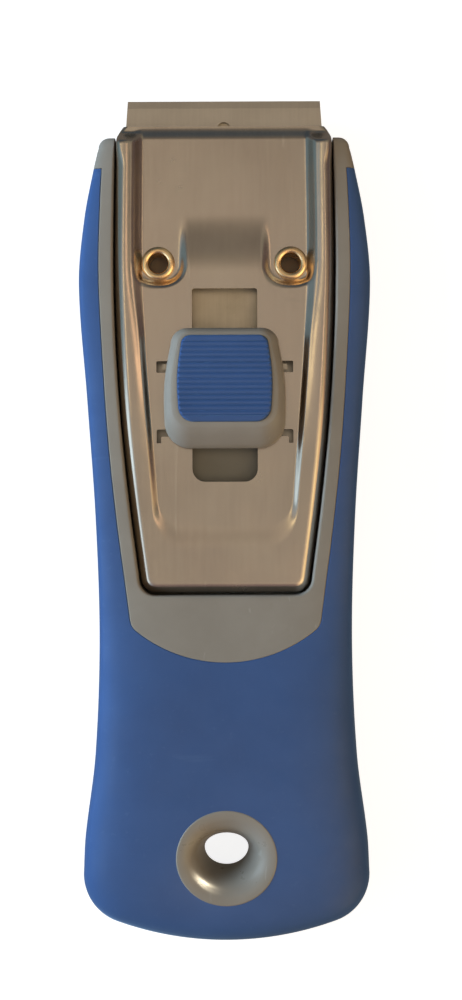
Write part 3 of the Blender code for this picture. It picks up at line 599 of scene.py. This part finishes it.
def cover_edge():
    """Edge of the cover plate from its right front corner round its rear."""
    turn = COVER_REAR + COVER_CORNER * (1 - np.cos(np.radians(np.linspace(90, 0, 40))))
    ys = np.concatenate([np.linspace(COVER_FRONT + 4, COVER_REAR + COVER_CORNER, 200)[:-1], turn])
    right = [(float(cover_half_width(y)), float(y)) for y in ys]
    right += [(right[-1][0] * (1 - i / 8), COVER_REAR) for i in range(1, 8)]
    return mirrored(right)


def cover_height(x, y):
    """Top of the pressing: lip, rivet pads, panel, and the rails that run together in a platform behind."""
    across = np.abs(x)
    sideways = np.where((across > EYELET[0]) & (y > EYELET[1]), 0, np.abs(EYELET[0] - across)) / PAD_HALF
    behind = max(EYELET[1] - y, 0) / PAD_REACH
    pad = (sideways ** PAD_ROUNDNESS + behind ** PAD_ROUNDNESS) ** (1 / PAD_ROUNDNESS)
    panel = (1 - ramp(y, *PANEL_RAMP)) * ramp(pad, 0.81, 1.19)
    z = LOW_Z + (MID_Z - LOW_Z) * panel
    inner, step = through(RAIL_INNER, y), rail_step(y)
    sideways = np.maximum(across - inner + RECESS_CORNER, 0)
    behind = max(PLATFORM_FOOT + RECESS_CORNER - y, 0)
    away = np.hypot(sideways, behind)
    turn = np.where(away > 0, behind / np.maximum(away, 1e-6), 0) ** 2
    rail = ramp(away - RECESS_CORNER, 0, step + (PLATFORM_STEP - step) * turn)
    edge = cover_half_width(y)
    share = np.clip((across - inner - step) / np.maximum(edge - inner - step, 0.1), 0, 1)
    crown = 0.3 * (np.where(across > inner + step, 2 * share - 1, 1) ** 2) * ramp(y, -6, 40)
    top = HIGH_Z - REAR_DROP * (1 - ramp(y, -4, 26))
    z = z + (top - z) * rail - crown * rail
    return z + (LIP_Z - z) * ramp(y, LIP_RAMP[0] - 0.9 * rail, LIP_RAMP[1] - 0.5 * rail)


def cover_pressing():
    """Pressed cover as a fine sheet with its sides folded down, then pierced."""
    rows = np.concatenate([
        COVER_REAR + 2.2 * np.linspace(0, 1, 18) ** 1.8,
        np.linspace(COVER_REAR + 2.5, PLATFORM_FOOT - PLATFORM_STEP - 0.3, 13),
        np.linspace(PLATFORM_FOOT - PLATFORM_STEP, PLATFORM_FOOT + RECESS_CORNER, 34),
        np.linspace(PLATFORM_FOOT + RECESS_CORNER + 0.6, 44, 44),
        np.linspace(44.4, 62, 60),
        np.linspace(62.6, LIP_RAMP[0] - 1.2, 20),
        np.linspace(LIP_RAMP[0] - 0.9, COVER_FRONT, 20)])
    grid_points, heights = [], []
    for y in rows:
        edge = float(cover_half_width(y))
        inner = min(float(through(RAIL_INNER, y)), edge * 0.76)
        bend = fold_radius(y) + 0.1
        step_end = min(inner + rail_step(y), edge - bend - 0.2)
        half = np.concatenate([np.linspace(0, inner, 50)[:-1], np.linspace(inner, step_end, 16)[:-1],
                               np.linspace(step_end, edge - bend, 8)[:-1],
                               edge - bend * np.linspace(1, 0, 18) ** 1.8])
        xs = np.concatenate([-half[:0:-1], half])
        grid_points.append([(x, y) for x in xs])
        heights.append(cover_height(xs, y))
    count = len(grid_points[0])
    near = distance_to(cover_edge(), np.array(grid_points).reshape(-1, 2)).reshape(len(rows), count)
    vertices, grid = [], []
    for y, points, height, gap in zip(rows, grid_points, heights, near):
        gap[[0, -1]] = 0
        if y == rows[0]:
            gap[:] = 0
        fall = rounding(gap, fold_radius(y))
        grid.append(list(range(len(vertices), len(vertices) + count)))
        vertices += [(x, y, z) for (x, _), z in zip(points, height - fall)]
    faces = grid_faces(grid)
    previous = border = grid_border(grid)
    for drop in (0.35, 1.0):
        skirt = []
        for i in border:
            x, y, z = vertices[i]
            foot = BASE_Z[0] if y <= SKIRT_END else z - 0.5 * SHEET
            skirt.append(len(vertices))
            vertices.append((x, y, z + (foot - z) * drop))
        faces += [[previous[k + 1], previous[k], skirt[k], skirt[k + 1]] for k in range(len(border) - 1)]
        previous = skirt
    plate = mesh_object("cover_pressing", vertices, faces, 60)
    thick = plate.modifiers.new("thickness", "SOLIDIFY")
    thick.thickness = SHEET * MM
    thick.offset = -1
    cut(plate, cover_holes())
    return shaded(plate, 50)


def rounded(low_x, high_x, low_y, high_y, radius):
    """Rounded rectangle as a closed outline."""
    points = []
    for x, y, start in ((high_x - radius, high_y - radius, 0), (low_x + radius, high_y - radius, 90),
                        (low_x + radius, low_y + radius, 180), (high_x - radius, low_y + radius, 270)):
        points += arc(x, y, radius, start, start + 90, 4)
    return points


def cover_holes():
    """Window, eyelet holes and detent notches in one cutter."""
    window_half, window_rear, window_front = WINDOW
    right = arc(window_half - 0.5, window_front - 0.5, 0.5, 90, 0, 4)
    right += arc(window_half - WINDOW_CORNER, window_rear + WINDOW_CORNER, WINDOW_CORNER, 0, -90, 10)
    tools = [prism("window", mirrored([(0, window_front)] + right), 8, 16)]
    for side in (-1, 1):
        tools.append(turned("eyelet_hole", [(0, 8), (2.4, 8), (2.4, 14), (0, 14)],
                            (side * EYELET[0], EYELET[1]), 40))
        low, high = sorted((side * NOTCH_X[0], side * NOTCH_X[1]))
        tools.append(prism("notch", rounded(low, high, NOTCH_FRONT - NOTCH_HALF_FRONT,
                                            NOTCH_FRONT + NOTCH_HALF_FRONT, 0.25), 8, 16))
        inner, outer, hook = NOTCH_X[0], NOTCH_X[1], NOTCH_X[1] - 0.9
        top, bottom, end = NOTCH_REAR + NOTCH_HALF_REAR, NOTCH_REAR - NOTCH_HALF_REAR, NOTCH_REAR - 2.0
        shape = [(inner, bottom), (hook - 0.2, bottom), (hook, bottom - 0.2), (hook, end), (outer, end),
                 (outer, top - 0.25), (outer - 0.25, top), (inner, top)]
        tools.append(prism("hook", [(side * x, y) for x, y in shape], 8, 16))
    return union_of("holes", tools)


def eyelet(name, side):
    seat = LOW_Z + 0.1
    middle = (EYELET_RIM + EYELET_HOLE) / 2
    roll = (EYELET_RIM - EYELET_HOLE) / 2
    profile = [(middle - x * roll, seat + 0.3 + z * 0.62) for x, z in arc(0, 0, 1, -12, 192, 22)]
    profile += [(EYELET_RIM - 0.2, seat), (EYELET_TUBE, seat), (EYELET_TUBE, BASE_Z[0] - 0.1),
                (3.0, BASE_Z[0] - 0.1), (3.0, BASE_Z[0] - 0.6), (EYELET_HOLE, BASE_Z[0] - 0.6),
                (EYELET_HOLE, seat)]
    return turned(name, profile, (side * EYELET[0], EYELET[1]), 56)


# Thumb button.

def button_outline(half_width, front_half_width, rear, front, radius, z, bulge):
    """Rounded outline of one level of the button, narrower at its front, with bulging sides."""
    rear_arc = arc(half_width - radius, rear + radius, radius, -90, 0, 12)
    front_radius = radius * 0.62
    front_arc = arc(front_half_width - front_radius, front - front_radius, front_radius, 0, 90, 12)
    start, end = np.array(rear_arc[-1]), np.array(front_arc[0])
    side = []
    for t in np.linspace(0, 1, 9)[1:-1]:
        point = start + (end - start) * t
        side.append((point[0] + bulge * math.sin(math.pi * t), point[1]))
    points = [(x, y, z) for x, y in rear_arc + side + front_arc]
    return points + [(-x, y, z) for x, y, z in reversed(points)]


def button_shell():
    low, high = BUTTON_Z
    keys = [(0.0, (10.8, 9.8, 15.4, 37.2, 5.0, 0.5)), (0.9, (11.75, 10.55, 14.35, 37.85, 5.2, 0.6)),
            (2.0, (11.8, 10.55, 14.7, 37.85, 5.2, 0.6)), (3.2, (11.6, 10.4, 15.9, 37.75, 5.0, 0.6)),
            (4.2, (11.1, 9.95, 17.2, 37.45, 4.6, 0.6)), (4.9, (10.3, 9.1, 18.5, 36.9, 3.9, 0.5))]
    layers = []
    for rise in np.linspace(0, 4.9, 26):
        values = [float(through([(k, v[i]) for k, v in keys], rise)) for i in range(6)]
        layers.append(button_outline(*values[:5], low + rise, values[5]))
    for shrink, drop in ((0.0, -0.02), (-0.12, 0.05), (-0.2, 0.25), (-0.2, 1.0)):
        rear, front = PAD_Y
        layers.append(button_outline(PAD_HALF_WIDTH[0] - shrink, PAD_HALF_WIDTH[1] - shrink, rear + shrink,
                                     front - shrink, PAD_CORNER - shrink, high - drop, PAD_BULGE))
    shell = stack("button_shell", layers)
    half_width, rear, front, foot = NECK
    right = [(half_width, front)] + arc(half_width - NECK_CORNER, rear + NECK_CORNER, NECK_CORNER, 0, -90, 8)
    combine(shell, prism("neck", mirrored(right), foot, low + 0.5), "UNION")
    return shaded(shell, 48)


def ribbed_pad():
    """Pad with rounded ribs across the thumb's path."""
    rear, front = PAD_Y
    margin = 0.05
    outline = np.array([(x, y) for x, y, _ in button_outline(
        PAD_HALF_WIDTH[0] - margin, PAD_HALF_WIDTH[1] - margin, rear + margin, front - margin, PAD_CORNER, 0,
        PAD_BULGE)])
    right = outline[outline[:, 0] > 0]
    right = right[np.argsort(right[:, 1])]
    middle = (rear + front) / 2
    rows = np.linspace(rear + margin, front - margin, 230)
    vertices, grid = [], []
    for y in rows:
        edge = float(np.interp(y, right[:, 1], right[:, 0]))
        xs = np.concatenate([-edge * np.sin(np.linspace(math.pi / 2, 0, 22))[:-1],
                             edge * np.sin(np.linspace(0, math.pi / 2, 22))])
        phase = (y - middle) / RIB_PITCH + 0.5 * (RIB_COUNT % 2)
        groove = 0.0
        if abs(y - middle) < RIB_PITCH * RIB_COUNT / 2:
            groove = RIB_DEPTH * (1 - abs(math.sin(math.pi * phase)) ** 0.45)
        fall = rounding(np.minimum(edge - np.abs(xs), min(y - rear, front - y)), PAD_ROUNDING)
        grid.append(list(range(len(vertices), len(vertices) + len(xs))))
        vertices += [(x, y, PAD_Z - max(drop, groove)) for x, drop in zip(xs, fall)]
    faces = grid_faces(grid)
    border = grid_border(grid) + grid[-1][1:-1][::-1]
    foot = list(range(len(vertices), len(vertices) + len(border)))
    vertices += [(*vertices[i][:2], BUTTON_Z[1] - 0.8) for i in border]
    for k in range(len(border)):
        j = (k + 1) % len(border)
        faces.append([border[j], border[k], foot[k], foot[j]])
    faces.append(foot)
    return mesh_object("ribbed_pad", vertices, faces)


# Materials.

def new_node(tree, kind, sockets, **settings):
    """Shader node with its settings, and its sockets set to values or linked to outputs."""
    node = tree.nodes.new("ShaderNode" + kind)
    for name, value in settings.items():
        setattr(node, name, value)
    for place, value in sockets.items():
        if isinstance(value, bpy.types.NodeSocket):
            tree.links.new(value, node.inputs[place])
        else:
            colour = node.inputs[place].type == "RGBA"
            node.inputs[place].default_value = (*value, 1) if colour else value
    return node


class Shader:
    """A Principled material and short calls that wire its procedural detail."""

    def __init__(self, name, colour, metallic, roughness):
        self.material = bpy.data.materials.new(name)
        self.material.use_nodes = True
        self.tree = self.material.node_tree
        self.shader = self.tree.nodes["Principled BSDF"]
        self.set(Metallic=metallic, Roughness=roughness, Base_Color=(*colour, 1))
        self.place = self.tree.nodes.new("ShaderNodeTexCoord").outputs["Object"]
        self.bump_out = None

    def set(self, **values):
        for name, value in values.items():
            self.shader.inputs[name.replace("_", " ")].default_value = value

    def stretched(self, scale):
        if not scale:
            return self.place
        return new_node(self.tree, "Mapping", {"Scale": scale, "Vector": self.place}).outputs["Vector"]

    def noise(self, scale, detail=4.0, rough=0.55, stretch=None, distortion=0.0):
        sockets = {"Scale": scale, "Detail": detail, "Roughness": rough, "Distortion": distortion,
                   "Vector": self.stretched(stretch)}
        return new_node(self.tree, "TexNoise", sockets).outputs["Fac"]

    def voronoi(self, scale, feature="DISTANCE_TO_EDGE"):
        sockets = {"Scale": scale, "Vector": self.place}
        return new_node(self.tree, "TexVoronoi", sockets, feature=feature).outputs["Distance"]

    def ranged(self, value, low, high, to_low, to_high):
        sockets = {"From Min": low, "From Max": high, "To Min": to_low, "To Max": to_high, "Value": value}
        return new_node(self.tree, "MapRange", sockets).outputs["Result"]

    def mixed(self, factor, first, second):
        sockets = {"Factor": factor, 6: first, 7: second}
        return new_node(self.tree, "Mix", sockets, data_type="RGBA").outputs[2]

    def math(self, operation, first, second):
        return new_node(self.tree, "Math", {0: first, 1: second}, operation=operation).outputs["Value"]

    def bump(self, height, distance, strength):
        sockets = {"Distance": distance, "Strength": strength, "Height": height}
        if self.bump_out:
            sockets["Normal"] = self.bump_out
        self.bump_out = new_node(self.tree, "Bump", sockets).outputs["Normal"]
        self.link(self.bump_out, "Normal")

    def link(self, out, name):
        self.tree.links.new(out, self.shader.inputs[name])

    def colour(self, out):
        self.link(out, "Base Color")

    def drifting(self, value, low, high, first, second):
        """Colour that goes from first to second as value goes from low to high."""
        return self.mixed(self.ranged(value, low, high, 0, 1), first, second)

    def uneven_gloss(self, scale, smooth, rough):
        """Roughness that drifts over the surface."""
        self.link(self.ranged(self.noise(scale, 4, 0.6), 0.3, 0.7, smooth, rough), "Roughness")


def soft_blue():
    """Soft-touch skin: fine eggshell grain, faint mottling, a few rubbed spots and scuffs."""
    s = Shader("soft_blue", (0.016, 0.05, 0.16), 0.0, 0.55)
    cloud = s.noise(45, 5, 0.6)
    base = s.drifting(cloud, 0.35, 0.68, (0.027, 0.075, 0.222), (0.034, 0.092, 0.266))
    dust = s.ranged(s.noise(700, 3, 0.7), 0.62, 0.8, 0, 0.35)
    base = s.mixed(dust, base, (0.07, 0.14, 0.31))
    scuff = s.ranged(s.noise(90, 6, 0.7, (0.25, 1.6, 1), 0.6), 0.64, 0.74, 0, 0.22)
    s.colour(s.mixed(scuff, base, (0.08, 0.16, 0.34)))
    s.uneven_gloss(160, 0.46, 0.62)
    s.bump(s.noise(3200, 2, 0.5), 0.00002, 0.35)
    s.bump(s.voronoi(1500), 0.00002, 0.12)
    s.set(Sheen_Weight=0.5, Sheen_Roughness=0.45, Sheen_Tint=(0.40, 0.66, 1.0, 1))
    return s.material


def grey_plastic(name, smooth, rough):
    """Moulded grey: spark-eroded grain, slight colour drift, hairline scratches and a few nicks."""
    s = Shader(name, (0.16, 0.15, 0.13), 0.0, 0.5)
    drift = s.noise(60, 4, 0.6)
    base = s.drifting(drift, 0.35, 0.7, (0.236, 0.215, 0.190), (0.274, 0.252, 0.225))
    grime = s.ranged(s.noise(260, 6, 0.75), 0.60, 0.78, 0, 0.35)
    base = s.mixed(grime, base, (0.20, 0.18, 0.15))
    scratch = s.ranged(s.noise(500, 2, 0.5, (1.0, 0.3, 1), 0.8), 0.71, 0.75, 0, 0.25)
    s.colour(s.mixed(scratch, base, (0.42, 0.41, 0.38)))
    s.uneven_gloss(220, smooth, rough)
    s.bump(s.noise(4200, 2, 0.5), 0.00002, 0.3)
    s.bump(scratch, 0.00003, -0.25)
    return s.material


def pressed_steel():
    """Pressed stainless: rolling grain along the sheet, smudges, warm tint and hairline scratches."""
    s = Shader("pressed_steel", (0.55, 0.5, 0.44), 1.0, 0.22)
    cloud = s.noise(42, 4, 0.55, (1.0, 0.7, 1), 0.5)
    base = s.drifting(cloud, 0.36, 0.66, (0.50, 0.435, 0.375), (0.585, 0.525, 0.445))
    tint = s.ranged(s.noise(26, 3, 0.5), 0.4, 0.62, 0, 0.6)
    base = s.mixed(tint, base, (0.56, 0.475, 0.415))
    smudge = s.ranged(s.noise(95, 6, 0.72, distortion=0.8), 0.58, 0.74, 0, 0.35)
    base = s.mixed(smudge, base, (0.45, 0.42, 0.37))
    grain = s.noise(1500, 3, 0.6, (1.0, 0.05, 1.0))
    base = s.mixed(s.ranged(grain, 0.4, 0.65, 0, 0.12), base, (0.66, 0.60, 0.53))
    scratch = s.ranged(s.noise(260, 2, 0.5, (1.6, 0.12, 1), 1.0), 0.71, 0.73, 0, 0.3)
    s.colour(s.mixed(scratch, base, (0.68, 0.63, 0.56)))
    rough = s.ranged(s.noise(120, 5, 0.65), 0.3, 0.7, 0.19, 0.27)
    s.link(s.math("ADD", rough, s.math("MULTIPLY", smudge, 0.12)), "Roughness")
    s.bump(grain, 0.000008, 0.06)
    s.bump(s.noise(140, 2, 0.5), 0.0001, 0.05)
    return s.material


def plain_steel(name, dark, light, rough, stretch):
    """Flat sheet steel with grinding or rolling lines along one direction."""
    s = Shader(name, dark, 1.0, rough)
    cloud = s.noise(70, 5, 0.6)
    base = s.drifting(cloud, 0.35, 0.68, dark, light)
    line = s.noise(2200, 3, 0.6, stretch)
    s.colour(s.mixed(s.ranged(line, 0.4, 0.66, 0, 0.12), base, tuple(min(v * 1.2, 1) for v in light)))
    s.uneven_gloss(150, rough - 0.06, rough + 0.08)
    s.bump(line, 0.00001, 0.05)
    return s.material


def rear_shaded_steel():
    """Carrier sheet: brushed across, and darkened towards its rear by painted shade."""
    s = Shader("rear_shaded_steel", (0.45, 0.4, 0.32), 1.0, 0.32)
    split = new_node(s.tree, "SeparateXYZ", {"Vector": s.place})
    cloud = s.noise(90, 5, 0.65)
    edge = s.math("ADD", split.outputs["Y"], s.math("MULTIPLY", cloud, 0.012))
    base = s.drifting(cloud, 0.35, 0.68, (0.50, 0.43, 0.33), (0.60, 0.52, 0.41))
    line = s.noise(2200, 3, 0.6, (1.0, 0.03, 1))
    base = s.mixed(s.ranged(line, 0.4, 0.66, 0, 0.2), base, (0.68, 0.60, 0.48))
    # painted shade: the colour turns dark towards the carrier's rear, standing in for the shade there
    painted_rear_shade = s.ranged(edge, 0.022, 0.040, 1, 0)
    s.colour(s.mixed(painted_rear_shade, base, (0.20, 0.19, 0.165)))
    s.uneven_gloss(150, 0.34, 0.48)
    s.bump(line, 0.00001, 0.08)
    return s.material


def rolled_brass():
    s = Shader("rolled_brass", (0.80, 0.58, 0.28), 1.0, 0.22)
    tarnish = s.noise(420, 5, 0.65)
    s.colour(s.drifting(tarnish, 0.42, 0.66, (1.0, 0.74, 0.42), (0.84, 0.55, 0.29)))
    s.link(s.ranged(tarnish, 0.3, 0.7, 0.18, 0.32), "Roughness")
    s.bump(s.noise(1400, 3, 0.6), 0.00002, 0.25)
    return s.material


def zinc_plate():
    s = Shader("zinc_plate", (0.55, 0.55, 0.54), 1.0, 0.35)
    spangle = s.voronoi(900, feature="F1")
    s.colour(s.drifting(spangle, 0.1, 0.6, (0.46, 0.46, 0.45), (0.62, 0.61, 0.58)))
    s.uneven_gloss(500, 0.28, 0.44)
    s.bump(s.noise(2500, 3, 0.6), 0.00002, 0.2)
    return s.material


def floor_material():
    s = Shader("floor", (0.4, 0.4, 0.4), 0.0, 0.8)
    s.colour(s.drifting(s.noise(6, 3, 0.5), 0.3, 0.7, (0.38, 0.38, 0.38), (0.42, 0.42, 0.42)))
    s.set(Specular_IOR_Level=0.0, Emission_Color=(1, 1, 1, 1), Emission_Strength=0.86)
    return s.material


def dress(obj, material):
    obj.data.materials.clear()
    obj.data.materials.append(material)


def soften(obj, width):
    """Small rounded edges on a CAD piece."""
    bevel = obj.modifiers.new("edges", "BEVEL")
    bevel.width = width * MM
    bevel.segments = 2
    bevel.limit_method = "ANGLE"
    bevel.angle_limit = math.radians(40)


# Scene.

def camera():
    """Looks straight down from above the middle of the scraper, with its long side upright."""
    distance, frame_height = 380.0, 199.0
    data = bpy.data.cameras.new("camera")
    data.sensor_width = 36.0
    data.lens = 36.0 * distance / frame_height
    data.clip_start = 0.01
    obj = bpy.data.objects.new("camera", data)
    obj.location = Vector((1.13, 4.2, 8.3 + distance)) * MM
    obj.rotation_euler.z = math.radians(-0.22)
    bpy.context.scene.camera = placed(obj)


def area_light(name, place, target, size, power, colour, shine=False):
    """Soft light that only brightens matt surfaces, or one that only shows in shiny ones."""
    data = bpy.data.lights.new(name, "AREA")
    data.shape = "RECTANGLE"
    data.size, data.size_y = size
    data.energy = power
    data.color = colour
    obj = bpy.data.objects.new(name, data)
    obj.location = place
    obj.rotation_euler = (Vector(target) - Vector(place)).to_track_quat("-Z", "Y").to_euler()
    obj.visible_glossy = shine
    obj.visible_diffuse = not shine
    obj.visible_camera = False
    return placed(obj)


# The room round the scraper: parts that are brighter, then parts that are darker.
# Each has its direction, its inner and outer angle in degrees, and the colour added or multiplied.
ROOM = (0.17, 0.152, 0.135)
BRIGHT = [
    ((0.0, -0.20, 1.0), 4, 48, (0.32, 0.28, 0.225)),       # ceiling
    ((-0.14, 0.20, 1.0), 2, 12, (0.21, 0.165, 0.115)),     # its lighter part
    ((-1.0, 0.15, 0.30), 10, 42, (0.02, 0.13, 0.20)),      # blue-grey wall
    ((-0.57, 0.10, 0.80), 4, 13, (0.30, 0.36, 0.40)),      # top of the window
    ((0.1, -1.0, 0.55), 10, 60, (0.10, 0.08, 0.08)),       # rear wall
    ((-0.32, 0.10, 0.95), 2, 5, (2.6, 2.1, 1.15)),         # lamp on the left
    ((0.32, 0.10, 0.95), 2, 5, (2.4, 1.5, 0.85)),          # lamp on the right
    ((0.60, 0.75, 0.80), 8, 32, (0.12, 0.12, 0.08)),       # lighter corner at the far end
    ((0.67, -0.47, 0.57), 24, 34, (1.55, 1.18, 0.56)),     # lit wall behind on the right
    ((0.394, -0.308, 0.866), 14, 22, (0.55, 0.40, 0.20)),  # its upper part
    ((-0.67, -0.40, 0.57), 20, 32, (0.28, 0.40, 0.50)),    # lit wall behind on the left
]
DARK = [
    ((1.0, 0.1, 0.25), 18, 42, (0.80, 0.68, 0.74)),        # dim wall on the right
    ((-0.35, 1.0, 0.35), 18, 38, (0.45, 0.66, 0.92)),      # far end of the room
    ((0.0, 0.40, 1.0), 4, 11, (0.74, 0.73, 0.70)),         # whoever looks down on it
    ((0.0, -1.0, 0.75), 22, 40, (0.50, 0.44, 0.52)),       # shaded part of the rear wall
]


def studio():
    """Room that is dim and warm overhead, with a cool window on the left."""
    world = bpy.data.worlds.new("studio")
    bpy.context.scene.world = world
    world.use_nodes = True
    tree = world.node_tree
    place = tree.nodes.new("ShaderNodeTexCoord").outputs["Generated"]
    colour = ROOM
    for kind, patches in (("ADD", BRIGHT), ("MULTIPLY", DARK)):
        for direction, inner, outer, shade in patches:
            dot = new_node(tree, "VectorMath", {0: place, 1: Vector(direction).normalized()},
                           operation="DOT_PRODUCT")
            sockets = {"From Min": math.cos(math.radians(outer)), "From Max": math.cos(math.radians(inner)),
                       "Value": dot.outputs["Value"]}
            soft = new_node(tree, "MapRange", sockets, interpolation_type="SMOOTHSTEP")
            sockets = {"Factor": soft.outputs["Result"], 6: colour, 7: shade}
            colour = new_node(tree, "Mix", sockets, data_type="RGBA", blend_type=kind,
                              clamp_result=False).outputs[2]
    tree.links.new(colour, tree.nodes["Background"].inputs["Color"])
    tree.nodes["Background"].inputs["Strength"].default_value = 1.0


def floor():
    """Pale floor with a little glow of its own, so that shadows on it stay faint."""
    mesh = bpy.data.meshes.new("floor")
    size, drop = 40.0, -0.0005
    mesh.from_pydata([(-size, -size, drop), (size, -size, drop), (size, size, drop), (-size, size, drop)],
                     [], [(0, 1, 2, 3)])
    obj = placed(bpy.data.objects.new("floor", mesh))
    dress(obj, floor_material())
    obj.visible_diffuse = obj.visible_glossy = False


def add(piece, material, body, slot, *replaced):
    dress(piece, material)
    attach(piece, body)
    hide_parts(*replaced)


def build():
    camera()
    studio()
    middle = (0, 0, 0)
    area_light("soft_left", (-0.62, 0.08, 0.12), middle, (0.30, 0.60), 8.0, (0.66, 0.85, 1.0))
    area_light("window_by_corner", (-0.13, -0.03, 0.08), (-0.018, 0, 0.012), (0.12, 0.10), 0.05,
               (0.72, 0.88, 1.0), True)
    lamp = area_light("lamp_by_ring", (0.019, -0.050, 0.040), (-0.004, -0.070, 0.015), (0.007, 0.007), 0.0011,
                      (1.0, 0.86, 0.62), True)
    lamp.data.spread = math.radians(26)
    floor()
    blue, steel = soft_blue(), pressed_steel()
    grey, rubbed = grey_plastic("grey_plastic", 0.38, 0.54), grey_plastic("rubbed_grey", 0.26, 0.38)
    brass, zinc = rolled_brass(), zinc_plate()
    blade_steel = plain_steel("blade_steel", (0.50, 0.455, 0.40), (0.58, 0.53, 0.465), 0.34, (1.0, 0.03, 1))
    sheet_steel = plain_steel("sheet_steel", (0.42, 0.38, 0.32), (0.50, 0.45, 0.38), 0.30, (0.03, 1.0, 1))

    add(handle_shell(), grey, "handle", "grey_plastic", "handle_body")
    add(grip_skin(), blue, "handle", "blue_grip", "grip_overmold")
    add(back_lid(), grey, "handle", "grey_plastic", "back_cover")
    add(hang_ring_top(), rubbed, "handle", "grey_plastic", "hang_ring_front")
    add(hang_ring_rear(), rubbed, "handle", "grey_plastic", "hang_ring_back")
    add(cover_pressing(), steel, "handle", "stainless", "cover_plate")
    for side, word in ((-1, "left"), (1, "right")):
        add(eyelet("rolled_eyelet_" + word, side), brass, "handle", "brass", "eyelet_" + word)
    add(button_shell(), grey, "thumb_button", "grey_plastic", "button_frame")
    add(ribbed_pad(), blue, "thumb_button", "blue_grip", "button_pad")

    finishes = {"stainless": sheet_steel, "blade_steel": blade_steel, "zinc": zinc}
    for part in frame["record"]["subparts"]:
        node, slot = part["node"], part["material_slot"]
        if slot in finishes and node != "cover_plate":
            # the blade carrier gets the steel with painted shade towards its rear
            dress(NODES[node], rear_shaded_steel() if node == "blade_carrier" else finishes[slot])
    for node in ("base_plate", "blade_carrier"):
        soften(NODES[node], 0.15)
    bpy.context.scene.view_settings.view_transform = "Standard"


build()
